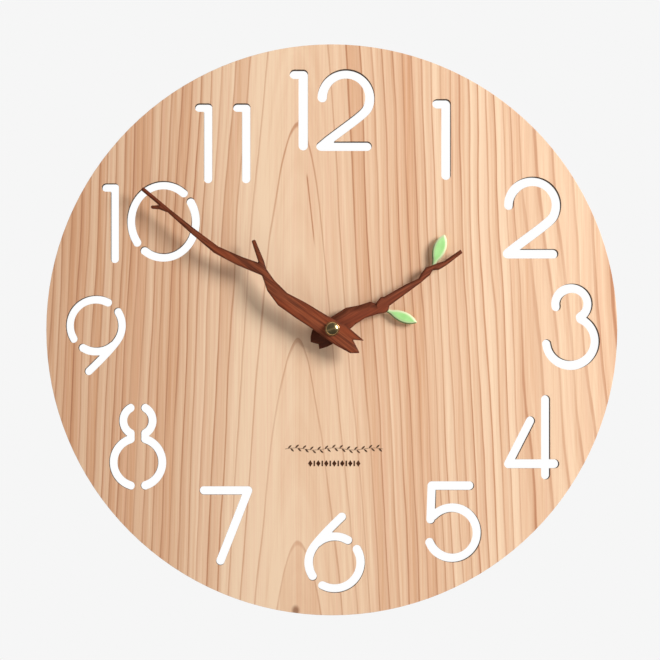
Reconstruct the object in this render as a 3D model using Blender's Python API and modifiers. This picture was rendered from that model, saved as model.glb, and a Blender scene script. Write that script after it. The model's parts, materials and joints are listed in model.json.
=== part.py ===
"""Round wooden wall clock: a board with numerals cut through it, twig-shaped hands, a quartz movement.

The scene is in metres, with +Z towards 12 o'clock. The clock faces -Y, and y = 0 is the wall behind it.
Constants and helper arguments are in millimetres and degrees; MM turns a length into metres.
Flat pieces are drawn as (x, z) outlines, the way they look from the front.
"""

import math

import bmesh
import bpy
from mathutils import Matrix

MM = 0.001
WELD = 1e-6  # metres
FLAT = math.radians(0.5)  # faces that meet at less than this become one
GAP = 0.05  # between faces that rest on each other

# Dial board
DIAL_RADIUS = 150.0
DIAL_THICKNESS = 5.0
DIAL_SEGMENTS = 128
BORE_CLEARANCE = 0.25

# Depth of each layer, from the wall (0) forwards (negative y)
HOUSING_DEPTH = 16.0
HOUSING_FRONT = -HOUSING_DEPTH
COVER_THICKNESS = 1.2
HOUSING_BACK = -COVER_THICKNESS - GAP
FLANGE_THICKNESS = 0.8
HANGER_BACK = HOUSING_FRONT - GAP
HANGER_FRONT = HANGER_BACK - FLANGE_THICKNESS
GASKET_BACK = HANGER_FRONT - GAP
GASKET_FRONT = GASKET_BACK - 1.05
DIAL_BACK = GASKET_FRONT - GAP
DIAL_FRONT = DIAL_BACK - DIAL_THICKNESS
WASHER_BACK = DIAL_FRONT - GAP
WASHER_FRONT = WASHER_BACK - 0.5
NUT_BACK = WASHER_FRONT - GAP
NUT_FRONT = NUT_BACK - 2.0
BUSHING_FRONT = NUT_FRONT - 0.5
HAND_THICKNESS = 2.5
HOUR_BACK = BUSHING_FRONT - 0.9
HOUR_FRONT = HOUR_BACK - HAND_THICKNESS
MINUTE_BACK = HOUR_FRONT - 1.8
MINUTE_FRONT = MINUTE_BACK - HAND_THICKNESS
CAP_BACK = MINUTE_FRONT - GAP
CAP_FRONT = CAP_BACK - 3.45

# Movement case
CASE_HALF = 28.0
CASE_WALL = 1.2
CASE_CORNER = 3.0
INNER_HALF = CASE_HALF - CASE_WALL
FRONT_PLATE_BACK = HOUSING_FRONT + CASE_WALL
PARTITION = (-11.9, -10.9)
BAY_FLOOR = -27.0
POSTS = ((-24.0, -7.0), (24.3, -6.5), (-23.5, 23.0), (23.5, 23.5))
POST_RADIUS = 1.8
TRAIN_PLATE = (-10.9, -10.1)

# Radii on the hand axis
THREAD_RADIUS = 3.85
BUSHING_BORE = 2.7
BUSHING_FLANGE = 5.4
HOUR_TUBE = (1.95, 2.5)
MINUTE_ARBOR_RADIUS = 1.75
HAND_THREAD = 1.5
CLUTCH_BORE = 0.8
BORE_PLAY = 0.05

# Gear train: teeth and modules. Distances between the axes follow from them.
MOTION_MODULE = 0.3516
HOUR_MODULE = 0.375
TRAIN_MODULE = 0.3
SECOND_MODULE = 0.28333
CANNON_TEETH = 16
MOTION_TEETH = 48
HOUR_PINION_TEETH = 12
HOUR_TEETH = 48
KNOB_TEETH = 24
SLOW_PINION_TEETH = 8
FAST_PINION_TEETH = 10
CENTRE_TEETH = 60
THIRD_TEETH = 64
SECOND_TEETH = 60
INTERMEDIATE_TEETH = 50
ADDENDUM = 0.8
DEDENDUM = 1.4
TOOTH_TIP = 0.12  # share of the pitch

# Hands, as they stand at rest: clockwise from 12
MINUTE_ANGLE = 306.7
HOUR_ANGLE = 59.3

# Battery: one AA cell lying across the bottom of the case
CELL_AXIS = (-7.6, -19.45)  # y, z
CELL_POSITIVE = -26.25
CELL_LENGTH = 50.5
CELL_RADIUS = 7.1

FINISHES = {
    "softwood": ((0.78, 0.52, 0.33), 0.6, 0.0),
    "rosewood": ((0.26, 0.065, 0.025), 0.45, 0.0),
    "leaf_green": ((0.38, 0.78, 0.27), 0.5, 0.0),
    "brass": ((0.62, 0.48, 0.2), 0.25, 1.0),
    "steel": ((0.6, 0.6, 0.6), 0.35, 1.0),
    "rubber": ((0.03, 0.03, 0.03), 0.8, 0.0),
    "black_plastic": ((0.025, 0.025, 0.027), 0.5, 0.0),
    "white_plastic": ((0.8, 0.8, 0.76), 0.45, 0.0),
    "circuit": ((0.05, 0.22, 0.09), 0.5, 0.0),
    "copper": ((0.72, 0.3, 0.14), 0.3, 1.0),
    "magnet": ((0.12, 0.12, 0.13), 0.4, 1.0),
    "cell_wrap": ((0.12, 0.3, 0.5), 0.4, 0.0),
}


# --- scene -----------------------------------------------------------------------------------------

for startup_object in list(bpy.data.objects):
    bpy.data.objects.remove(startup_object, do_unlink=True)


def new_collection(name, parent=None):
    made = bpy.data.collections.new(name)
    (parent or bpy.context.scene.collection).children.link(made)
    return made


PARTS = new_collection("wooden_wall_clock")
CUTTERS = new_collection("cutters")
NUMERAL_CUTTERS = new_collection("numeral_cutters", CUTTERS)


def helper(obj, collection=CUTTERS):
    """Makes an object a tool for a Boolean, which is neither rendered nor a part."""
    for owner in list(obj.users_collection):
        owner.objects.unlink(obj)
    collection.objects.link(obj)
    obj.hide_render = True
    obj.display_type = "WIRE"
    return obj


def finished(obj, finish):
    """Gives a part its own material, with the colour, roughness and metallic value of the finish."""
    colour, roughness, metallic = FINISHES[finish]
    material = bpy.data.materials.new(f"{obj.name}_{finish}")
    material.use_nodes = True
    shader = material.node_tree.nodes["Principled BSDF"]
    shader.inputs["Base Color"].default_value = (*colour, 1.0)
    shader.inputs["Roughness"].default_value = roughness
    shader.inputs["Metallic"].default_value = metallic
    material.diffuse_color = (*colour, 1.0)
    obj.data.materials.clear()
    obj.data.materials.append(material)
    obj.data.shade_smooth()
    obj.data.set_sharp_from_angle(angle=math.radians(35))
    return obj


def as_mesh(obj):
    """Replaces an object by its evaluated mesh, welded and with its faces pointing out."""
    bpy.context.view_layer.update()
    evaluated = obj.evaluated_get(bpy.context.evaluated_depsgraph_get())
    mesh = bpy.data.meshes.new_from_object(evaluated)
    work = bmesh.new()
    work.from_mesh(mesh)
    bmesh.ops.remove_doubles(work, verts=work.verts, dist=WELD)
    bmesh.ops.recalc_face_normals(work, faces=work.faces)
    bmesh.ops.dissolve_limit(work, angle_limit=FLAT, verts=work.verts, edges=work.edges)
    work.to_mesh(mesh)
    work.free()
    name = obj.name
    obj.name = name + "_drawn"
    made = bpy.data.objects.new(name, mesh)
    made.matrix_world = obj.matrix_world.copy()
    PARTS.objects.link(made)
    bpy.data.objects.remove(obj, do_unlink=True)
    return made


# --- shapes ----------------------------------------------------------------------------------------

FACING_TOP = (0.0, 0.0, 0.0)  # an outline drawn in x and y, extruded along z
FACING_SIDE = (math.pi / 2, 0.0, math.pi / 2)  # an outline drawn in y and z, extruded along x


def extruded(name, outlines, thickness, location, rotation):
    """A flat piece: the first outline is its rim, the others are holes in it."""
    curve = bpy.data.curves.new(name, "CURVE")
    curve.dimensions = "2D"
    curve.fill_mode = "BOTH"
    curve.extrude = thickness / 2 * MM
    for outline in outlines:
        spline = curve.splines.new("POLY")
        spline.points.add(len(outline) - 1)
        for point, (across, up) in zip(spline.points, outline):
            point.co = (across * MM, up * MM, 0.0, 1.0)
        spline.use_cyclic_u = True
    drawn = bpy.data.objects.new(name, curve)
    drawn.location = [value * MM for value in location]
    drawn.rotation_euler = rotation
    PARTS.objects.link(drawn)
    return as_mesh(drawn)


def plate(name, outlines, front, back, centre=(0.0, 0.0), turn=0.0):
    """A flat piece between two depths, its outlines drawn round its centre and turned clockwise by turn."""
    x, z = centre
    rotation = (math.pi / 2, math.radians(turn), 0.0)
    return extruded(name, outlines, back - front, (x, (front + back) / 2, z), rotation)


def turned(name, profile, centre=(0.0, 0.0), segments=20):
    """A piece turned about an axis along y, from (radius, y) points. It is solid if they start on it."""
    mesh = bpy.data.meshes.new(name)
    points = [(radius * MM, y * MM, 0.0) for radius, y in profile]
    edges = [(index, index + 1) for index in range(len(points) - 1)]
    if profile[0][0] * MM > WELD:
        edges.append((len(points) - 1, 0))
    mesh.from_pydata(points, edges, [])
    obj = bpy.data.objects.new(name, mesh)
    obj.location = (centre[0] * MM, 0.0, centre[1] * MM)
    screw = obj.modifiers.new("Turn", "SCREW")
    screw.axis = "Y"
    screw.steps = segments
    screw.render_steps = segments
    screw.use_merge_vertices = True
    screw.merge_threshold = WELD
    PARTS.objects.link(obj)
    return as_mesh(obj)


def turned_along_x(name, profile, y, z, segments=20):
    """A piece turned about an axis along x, from (radius, x) points."""
    obj = turned(name, profile, segments=segments)
    obj.matrix_world = Matrix.Translation((0.0, y * MM, z * MM)) @ Matrix.Rotation(-math.pi / 2, 4, "Z")
    return obj


def cylinder(name, radius, front, back, centre=(0.0, 0.0), segments=16):
    return turned(name, [(0, front), (radius, front), (radius, back), (0, back)], centre, segments)


def ring(name, inner, outer, front, back, centre=(0.0, 0.0), segments=20):
    return turned(name, [(inner, front), (outer, front), (outer, back), (inner, back)], centre, segments)


def box(name, x_range, y_range, z_range):
    ranges = (x_range, y_range, z_range)
    mesh = bpy.data.meshes.new(name)
    work = bmesh.new()
    bmesh.ops.create_cube(work, size=1.0)
    size = [(high - low) * MM for low, high in ranges]
    middle = [(high + low) / 2 * MM for low, high in ranges]
    bmesh.ops.scale(work, vec=size, verts=work.verts)
    work.to_mesh(mesh)
    work.free()
    obj = bpy.data.objects.new(name, mesh)
    obj.location = middle
    PARTS.objects.link(obj)
    return obj


def combine(obj, others, operation):
    """Adds a Boolean for each of the others, which become helpers."""
    for other in others:
        helper(other)
        modifier = obj.modifiers.new(other.name, "BOOLEAN")
        modifier.operation = operation
        modifier.solver = "EXACT"
        modifier.object = other
    return obj


def flattened(obj):
    """Joins the flat faces that Booleans have split."""
    planar = obj.modifiers.new("Flat faces", "DECIMATE")
    planar.decimate_type = "DISSOLVE"
    planar.angle_limit = FLAT
    return obj


def cut(obj, *others):
    return combine(obj, others, "DIFFERENCE")


def join(obj, *others):
    return combine(obj, others, "UNION")


def bevelled(obj, width, segments=1):
    bevel = obj.modifiers.new("Bevel", "BEVEL")
    bevel.width = width * MM
    bevel.segments = segments
    bevel.limit_method = "ANGLE"
    bevel.angle_limit = math.radians(40)
    return obj


# --- outlines --------------------------------------------------------------------------------------


def arc(centre, radii, start, end, step=12.0):
    """Points on an ellipse between two angles, anticlockwise from +x as the clock is seen from the front."""
    count = max(2, math.ceil(abs(end - start) / step))
    angles = [math.radians(start + (end - start) * index / count) for index in range(count + 1)]
    return [(centre[0] + radii[0] * math.cos(a), centre[1] + radii[1] * math.sin(a)) for a in angles]


def circle(radius, segments=24, centre=(0.0, 0.0)):
    return arc(centre, (radius, radius), 0, 360, 360 / segments)[:-1]


def bezier(start, lead, follow, end, count=7):
    """Points on a cubic curve, without its start."""
    points = []
    for index in range(1, count + 1):
        t = index / count
        weights = ((1 - t) ** 3, 3 * t * (1 - t) ** 2, 3 * t**2 * (1 - t), t**3)
        points.append(tuple(
            sum(w * p[axis] for w, p in zip(weights, (start, lead, follow, end))) for axis in (0, 1)
        ))
    return points


def rounded_rectangle(left, bottom, right, top, radius, step=22.5):
    corners = ((right, top, 0), (left, top, 90), (left, bottom, 180), (right, bottom, 270))
    points = []
    for x, z, start in corners:
        inset_x = x - math.copysign(radius, x - (left + right) / 2)
        inset_z = z - math.copysign(radius, z - (top + bottom) / 2)
        points += arc((inset_x, inset_z), (radius, radius), start, start + 90, step)
    return points


SHARP = 50.0  # a path that turns further than this at a point has a corner there
ROUNDING = 22.5


def heading(start, end):
    return math.degrees(math.atan2(end[1] - start[1], end[0] - start[0]))


def offset(point, angle, distance):
    return (
        point[0] + distance * math.cos(math.radians(angle)),
        point[1] + distance * math.sin(math.radians(angle)),
    )


def stroke(path, width, round_ends=True):
    """The outline of a line of this width along the path: round at outer corners, sharp at inner ones."""
    half = width / 2
    sides = {90: [], -90: []}
    for before, point, after in zip(path, path[1:], path[2:]):
        into = heading(before, point)
        turn = (heading(point, after) - into + 180) % 360 - 180
        for side, points in sides.items():
            if abs(turn) > SHARP and turn * side < 0:
                points += arc(point, (half, half), into + side, into + turn + side, ROUNDING)
            else:
                reach = half / math.cos(math.radians(turn / 2))
                points.append(offset(point, into + turn / 2 + side, reach))
    first = heading(path[0], path[1])
    last = heading(path[-2], path[-1])
    start_cap = arc(path[0], (half, half), first + 270, first + 90, ROUNDING)
    end_cap = arc(path[-1], (half, half), last + 90, last - 90, ROUNDING)
    if not round_ends:
        start_cap = [start_cap[0], start_cap[-1]]
        end_cap = [end_cap[0], end_cap[-1]]
    return start_cap + sides[90] + end_cap + sides[-90][::-1]


def leaf_outline(length, width, root):
    """A leaf that points up, on a root that reaches back behind the hand."""
    count = 8
    steps = [index / count for index in range(1, count)]
    side = [(width / 2 * math.sin(math.pi * t**1.2) ** 0.68, length * t) for t in steps]
    mirrored = [(-x, z) for x, z in reversed(side)]
    tip = [(0.3, length), (-0.3, length)]
    return [(0.7, -root), (0.9, 0.0), *side, *tip, *mirrored, (-0.9, 0.0), (-0.7, -root)]


def gear_outline(teeth, module, phase=0.0):
    """Teeth with straight flanks and V-shaped gaps; the first one points at the angle phase, from +x."""
    pitch_radius = teeth * module / 2
    root = pitch_radius - DEDENDUM * module
    tip = pitch_radius + ADDENDUM * module
    pitch = 360 / teeth
    tooth_points = ((tip, -TOOTH_TIP / 2), (tip, TOOTH_TIP / 2), (root, 0.5))
    return [
        offset((0.0, 0.0), phase + pitch * (tooth + share), radius)
        for tooth in range(teeth)
        for radius, share in tooth_points
    ]


def meshing_phase(direction, phase, teeth, other_teeth):
    """The phase that puts a gap of the other gear, in this direction, at a tooth of this one."""
    turned_teeth = (direction - phase) * teeth / 360
    return direction + 180 - (0.5 - turned_teeth) * 360 / other_teeth


# --- axes of the gear train ------------------------------------------------------------------------


def distance(teeth, other_teeth, module):
    return (teeth + other_teeth) * module / 2


MOTION_DIRECTION = 60.0
KNOB_DIRECTION = 20.0
THIRD_DIRECTION = 180.0
INTERMEDIATE_DIRECTION = 75.0
ROTOR_DIRECTION = 150.0

HAND_AXIS = (0.0, 0.0)
MOTION_AXIS = offset(HAND_AXIS, MOTION_DIRECTION, distance(HOUR_PINION_TEETH, HOUR_TEETH, HOUR_MODULE))
KNOB_AXIS = offset(MOTION_AXIS, KNOB_DIRECTION, distance(MOTION_TEETH, KNOB_TEETH, MOTION_MODULE))
THIRD_AXIS = offset(HAND_AXIS, THIRD_DIRECTION, distance(SLOW_PINION_TEETH, CENTRE_TEETH, TRAIN_MODULE))
INTERMEDIATE_AXIS = offset(
    HAND_AXIS, INTERMEDIATE_DIRECTION, distance(FAST_PINION_TEETH, SECOND_TEETH, TRAIN_MODULE)
)
ROTOR_AXIS = offset(
    INTERMEDIATE_AXIS, ROTOR_DIRECTION, distance(FAST_PINION_TEETH, INTERMEDIATE_TEETH, TRAIN_MODULE)
)


# --- numerals --------------------------------------------------------------------------------------

BOWL = 13.65  # radius of the round part of 6 and 9
BOWL_CENTRE = (0.0, -5.3)

# Each digit is the list of strokes it is cut with, drawn round the middle of the digit
DIGITS = {
    "0": [
        arc((0, 0), (17.0, 19.0), 51, 216),
        arc((0, 0), (17.0, 19.0), 33, -126),
    ],
    "1": [[(-4.7, 18.75), (0.0, 18.75), (0.0, -18.75)]],
    "2": [
        [
            *arc((0, 6.5), (12.5, 12.5), 180, -28),
            *bezier((11.04, 0.63), (9.16, -2.9), (-6.5, -13.0), (-13.2, -19.0)),
        ],
        [(-12.9, -19.05), (11.0, -19.05)],
    ],
    "3": [
        arc((0.65, 12.15), (8.45, 8.2), 190, -58),
        arc((0.1, -7.35), (12.8, 12.8), 66, -173),
    ],
    "4": [
        [(-0.6, 8.7), (-12.1, -13.9), (12.1, -13.9)],
        [(7.3, 19.85), (7.3, -19.75)],
    ],
    "5": [
        [(8.4, 19.1), (-11.4, 19.1), (-12.0, 1.4)],
        [
            *bezier((-11.7, 2.0), (-9.2, 4.8), (-5.7, 7.5), (-0.6, 7.5)),
            *arc((-0.6, -5.7), (12.9, 13.2), 90, -158)[1:],
        ],
    ],
    "6": [
        [
            *arc(BOWL_CENTRE, (BOWL, BOWL), 212, 145),
            *bezier((-11.2, 2.5), (-7.8, 7.4), (-0.5, 14.6), (3.8, 18.7)),
        ],
        arc(BOWL_CENTRE, (BOWL, BOWL), 59, 131),
        arc(BOWL_CENTRE, (BOWL, BOWL), 31, -118),
    ],
    "7": [[(-11.8, 18.6), (11.5, 18.6), (-3.1, -18.5)]],
    "8": [
        arc((0, 13.8), (7.7, 7.7), 120, 240),
        arc((0, -8.1), (12.8, 12.8), 107, 253),
        [(-3.8, 7.2), (-3.8, 4.1)],
        arc((0, 13.8), (7.7, 7.7), 60, -60),
        arc((0, -8.1), (12.8, 12.8), 73, -73),
        [(3.8, 7.2), (3.8, 4.1)],
    ],
}
DIGITS["9"] = [[(-x, -z) for x, z in path] for path in DIGITS["6"]]

# Hour: the width of its strokes, then each of its digits with the place of the digit's middle
NUMERALS = {
    "12": (4.9, [("1", -15.0, 115.5), ("2", 7.5, 115.5)]),
    "1": (4.9, [("1", 60.0, 100.0)]),
    "2": (4.9, [("2", 105.5, 59.0)]),
    "3": (4.8, [("3", 125.5, 1.5)]),
    "4": (4.7, [("4", 105.0, -56.5)]),
    "5": (4.6, [("5", 64.0, -101.0)]),
    "6": (4.5, [("6", 1.5, -117.0)]),
    "7": (4.4, [("7", -55.5, -103.0)]),
    "8": (4.4, [("8", -102.0, -61.5)]),
    "9": (4.2, [("9", -124.0, -3.0)]),
    "10": (4.3, [("1", -114.0, 56.0), ("0", -88.5, 57.0)]),
    "11": (4.4, [("1", -65.0, 98.0), ("1", -45.0, 98.0)]),
}


def make_dial_board():
    """The wooden disc with its numerals cut right through."""
    margin = 1.0
    rim = circle(DIAL_RADIUS, DIAL_SEGMENTS)
    bore = circle(THREAD_RADIUS + BORE_CLEARANCE)
    board = plate("dial_board", [rim, bore], DIAL_FRONT, DIAL_BACK)
    for hour, (width, digits) in NUMERALS.items():
        for digit, x, z in digits:
            for index, path in enumerate(DIGITS[digit]):
                outline = stroke(path, width)
                name = f"numeral_{hour}_at_{x:.0f}_stroke_{index}"
                cutter = plate(name, [outline], DIAL_FRONT - margin, DIAL_BACK + margin, (x, z))
                helper(cutter, NUMERAL_CUTTERS)
    numerals = board.modifiers.new("Numerals", "BOOLEAN")
    numerals.operand_type = "COLLECTION"
    numerals.collection = NUMERAL_CUTTERS
    numerals.solver = "EXACT"
    return finished(flattened(board), "softwood")


# --- hands -----------------------------------------------------------------------------------------

# A hand as it points to 12. Its limb runs from the tip down, as (height, middle, width). A twig is its
# root, its tip, and its width at each, and the tail is the corners of the broken end, clockwise.
MINUTE_LIMB = [
    (123, -0.5, 2), (105, -1.5, 2), (89, -2.5, 3), (73, -3, 4), (60, -0.5, 5), (46, 2.5, 4),
    (39, -1, 6.5), (30, -3, 8), (19, -2, 9.5), (6, -1, 10), (-6, 0, 11.5),
]
MINUTE_TWIG = ((6, 50.5), (12.5, 60.5), 3, 2)
MINUTE_TIP_TWIG = ((-3, 110), (-5.5, 113.5), 2, 1.5)
MINUTE_TAIL = [(5, -17), (2, -12), (-1.5, -19), (-4.5, -15)]
HOUR_LIMB = [
    (79, -0.5, 2), (68.5, 0.5, 2.5), (64, 0, 3.5), (61, -1, 2.5), (58.5, -0.5, 4.5), (55, 0.5, 3.5),
    (52.5, 1.5, 2.5), (45, 1.5, 4), (32, 2, 5.5), (30.5, 2.5, 8), (28.5, 3, 7.5), (26.5, 3, 6),
    (24.5, 1.5, 7.5), (18, 0, 7.5), (12, -1, 10), (2, 0, 11.5), (-4, 0.5, 12.5),
]
HOUR_TAIL = [(6.5, -7), (5.5, -11), (3, -10), (0, -13), (-2.5, -11.5), (-5, -9)]
HAND_CHAMFER = 0.45
MINUTE_SLEEVE = 2.9
HOUR_SLEEVE = 3.3
COLLET_PLAY = 0.1

LEAF_THICKNESS = 1.6
LEAF_ROOT = 3.2
# Name: length, width, place of the leaf's base on the hour hand as it points to 12, and the leaf's own turn
LEAVES = {
    "leaf_upper": (16.9, 6.8, (-1.9, 63.0), -39.2),
    "leaf_lower": (17.0, 5.7, (6.0, 29.8), 52.8),
}


def twig(root, tip, root_width, tip_width):
    """The four corners of a tapered twig, clockwise from its root."""
    across = heading(root, tip) + 90
    return [
        offset(root, across, root_width / 2), offset(tip, across, tip_width / 2),
        offset(tip, across, -tip_width / 2), offset(root, across, -root_width / 2),
    ]


def side_with_twigs(points, twigs):
    """One side of a limb, with each twig's corners between the two heights that its root lies between."""
    for corners in twigs:
        root_height = (corners[0][1] + corners[-1][1]) / 2
        place = next(
            index for index, (above, below) in enumerate(zip(points, points[1:]), 1)
            if min(above[1], below[1]) < root_height < max(above[1], below[1])
        )
        points = points[:place] + corners + points[place:]
    return points


def hand_outline(limb, tail, right_twigs=(), left_twigs=()):
    """The outline of a hand, clockwise: down its right side, round the tail and up its left side."""
    right = [(middle + width / 2, height) for height, middle, width in limb]
    left = [(middle - width / 2, height) for height, middle, width in reversed(limb)]
    return side_with_twigs(right, right_twigs) + tail + side_with_twigs(left, left_twigs)


def make_hand(name, outline, front, back, turn, sleeve):
    hole = circle(sleeve + COLLET_PLAY)
    hand = plate(name, [outline, hole], front, back, HAND_AXIS, turn)
    return finished(bevelled(hand, HAND_CHAMFER), "rosewood")


def make_collet(name, bore, sleeve, flange, front, back):
    """A bush pressed into a hand: a sleeve through the wood and a flange behind it."""
    behind = back + GAP
    flange_back = behind + 0.55
    profile = [
        (bore, front), (sleeve, front), (sleeve, behind),
        (flange, behind), (flange, flange_back), (bore, flange_back),
    ]
    return finished(turned(name, profile), "brass")


def make_leaf(name, length, width, base, turn):
    """A leaf glued by its root to the back of the hour hand."""
    reach = math.hypot(*base)
    base_angle = HOUR_ANGLE + math.degrees(math.atan2(base[0], base[1]))
    centre = offset(HAND_AXIS, 90 - base_angle, reach)
    front = HOUR_BACK + GAP
    outline = leaf_outline(length, width, LEAF_ROOT)
    leaf = plate(name, [outline], front, front + LEAF_THICKNESS, centre, HOUR_ANGLE + turn)
    return finished(bevelled(leaf, 0.3), "leaf_green")


def make_cap_nut():
    """The domed nut on the end of the minute arbor, with its blind thread open at the back."""
    rim = 3.75
    rim_front = CAP_BACK - 0.75
    dome_radius = 3.45
    dome_back = rim_front - 0.2
    dome = arc((0.0, dome_back), (dome_radius, dome_back - CAP_FRONT), -90, 0, 18)
    bore = HAND_THREAD + BORE_PLAY
    blind = CAP_FRONT + 1.0
    profile = dome + [(rim, rim_front), (rim, CAP_BACK), (bore, CAP_BACK), (bore, blind), (0.0, blind)]
    return finished(turned("cap_nut", profile), "brass")


def make_minute_arbor():
    """The minute hand's arbor with the cannon pinion on it, bored from the back for the centre arbor."""
    back = -12.2
    thread_back = MINUTE_FRONT
    tip = CAP_FRONT + 1.2
    profile = [
        (0.0, tip), (HAND_THREAD, tip), (HAND_THREAD, thread_back), (MINUTE_ARBOR_RADIUS, thread_back),
        (MINUTE_ARBOR_RADIUS, back), (CLUTCH_BORE, back), (CLUTCH_BORE, -20.0), (0.0, -20.0),
    ]
    arbor = turned("minute_arbor", profile)
    teeth = gear_outline(CANNON_TEETH, MOTION_MODULE)
    pinion = plate("cannon_pinion", [teeth, circle(1.3)], -13.5, -12.4)
    return finished(flattened(join(arbor, pinion)), "brass")


def make_clutch_spring():
    """A dished washer that presses the minute arbor against the going train."""
    inner = 1.0
    outer = 2.4
    profile = [(inner, -11.35), (inner, -11.1), (outer, -11.85), (outer, -12.1)]
    return finished(turned("clutch_spring", profile), "steel")


# --- movement: case and fixing ----------------------------------------------------------------------

CONTACT_SLOT = 0.7


def make_front_housing():
    """The tray of the movement, with the train chamber above and the battery bay below."""
    case = plate(
        "front_housing",
        [rounded_rectangle(-CASE_HALF, -CASE_HALF, CASE_HALF, CASE_HALF, CASE_CORNER)],
        HOUSING_FRONT,
        HOUSING_BACK,
    )
    open_back = 1.0
    inner = (-INNER_HALF, INNER_HALF)
    depth = (FRONT_PLATE_BACK, open_back)
    chamber = box("chamber", inner, depth, (PARTITION[1], INNER_HALF))
    bay = box("battery_bay", inner, depth, (BAY_FLOOR, PARTITION[0]))
    bushing_hole = cylinder("bushing_hole", 3.3, HOUSING_FRONT - 1, FRONT_PLATE_BACK + 1)
    slots = [
        box(f"contact_slot_{side}", x_range, (front, open_back), (PARTITION[0] - 0.5, PARTITION[1] + 0.5))
        for side, x_range, front in (
            ("positive", (-INNER_HALF - 0.01, -INNER_HALF + CONTACT_SLOT), -3.4),
            ("negative", (INNER_HALF - CONTACT_SLOT, INNER_HALF + 0.01), -9.2),
        )
    ]
    sunk = FRONT_PLATE_BACK - 0.5
    posts = [
        cylinder(f"case_post_{index}", POST_RADIUS, sunk, TRAIN_PLATE[0] - GAP, centre, 16)
        for index, centre in enumerate(POSTS)
    ]
    motion_post = cylinder("motion_post", 0.8, sunk, -11.2, MOTION_AXIS, 16)
    cut(case, chamber, bay, bushing_hole, *slots)
    join(case, *posts, motion_post)
    return finished(flattened(case), "black_plastic")


def make_rear_cover():
    """The lid of the train chamber. Its outer face is the wall plane."""
    knob_hole = circle(6.6, centre=KNOB_AXIS)
    outline = [
        (-CASE_HALF, PARTITION[1]), (CASE_HALF, PARTITION[1]),
        *arc((CASE_HALF - CASE_CORNER,) * 2, (CASE_CORNER, CASE_CORNER), 0, 90, 22.5),
        *arc((CASE_CORNER - CASE_HALF, CASE_HALF - CASE_CORNER), (CASE_CORNER, CASE_CORNER), 90, 180, 22.5),
    ]
    cover = plate("rear_cover", [outline, knob_hole], -COVER_THICKNESS, 0.0)
    posts = [
        cylinder(f"cover_post_{index}", POST_RADIUS, TRAIN_PLATE[1] + GAP, -0.6, centre, 16)
        for index, centre in enumerate(POSTS)
    ]
    pivots = [
        cylinder(f"pivot_{index}", 0.65, -2.0, -0.45, centre, 16)
        for index, centre in enumerate((HAND_AXIS, THIRD_AXIS, INTERMEDIATE_AXIS, ROTOR_AXIS))
    ]
    join(cover, *posts)
    cut(cover, *pivots)
    return finished(flattened(cover), "black_plastic")


def make_train_plate():
    """The middle plate, with a hole for each arbor and two posts that carry the stator."""
    edge = INNER_HALF - 0.3
    holes = (
        circle(1.1, 24, HAND_AXIS),
        circle(0.7, 16, THIRD_AXIS),
        circle(0.7, 16, INTERMEDIATE_AXIS),
        circle(0.6, 16, ROTOR_AXIS),
        circle(1.7, 24, KNOB_AXIS),
    )
    outline = rounded_rectangle(-edge, PARTITION[1] + 0.3, edge, edge, 1.5)
    middle = plate("train_plate", [outline, *holes], *TRAIN_PLATE)
    posts = [
        cylinder(f"stator_post_{index}", 1.0, TRAIN_PLATE[0] + 0.3, STATOR[0] - GAP, centre, 16)
        for index, centre in enumerate(((-14.4, 17.0), (10.4, 19.2)))
    ]
    return finished(flattened(join(middle, *posts)), "white_plastic")


def make_threaded_bushing():
    """The bushing the dial is clamped on: a spigot in the case, a flange and the thread."""
    lead_in = 0.35
    profile = [
        (BUSHING_BORE, BUSHING_FRONT), (THREAD_RADIUS - lead_in, BUSHING_FRONT),
        (THREAD_RADIUS, BUSHING_FRONT + lead_in), (THREAD_RADIUS, HANGER_FRONT),
        (BUSHING_FLANGE, HANGER_FRONT), (BUSHING_FLANGE, HANGER_BACK),
        (3.2, HANGER_BACK), (3.2, FRONT_PLATE_BACK - 0.05), (BUSHING_BORE, FRONT_PLATE_BACK - 0.05),
    ]
    return finished(turned("threaded_bushing", profile), "brass")


def make_fixings():
    """The nut and the washer on the front of the dial, and the gasket behind it."""
    bore = circle(THREAD_RADIUS + BORE_PLAY)
    across_flats = 10.0
    hexagon = circle(across_flats / 2 / math.cos(math.radians(30)), 6)
    nut = bevelled(plate("mounting_nut", [hexagon, bore], NUT_FRONT, NUT_BACK), 0.2)
    finished(nut, "brass")
    finished(ring("dial_washer", THREAD_RADIUS + 0.15, 5.7, WASHER_FRONT, WASHER_BACK), "brass")
    finished(ring("rubber_gasket", THREAD_RADIUS + 0.15, 9.0, GASKET_FRONT, GASKET_BACK), "rubber")


HANGER_WIDTH = 20.0
HANGER_TOP = 48.0
HANGER_BOTTOM = -9.0
HANGER_PLANE = -6.8  # depth of the hanging tab, which the nail head sits behind
HANGER_HOLE = 37.0
HANGER_HOLE_RADIUS = 5.0


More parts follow.
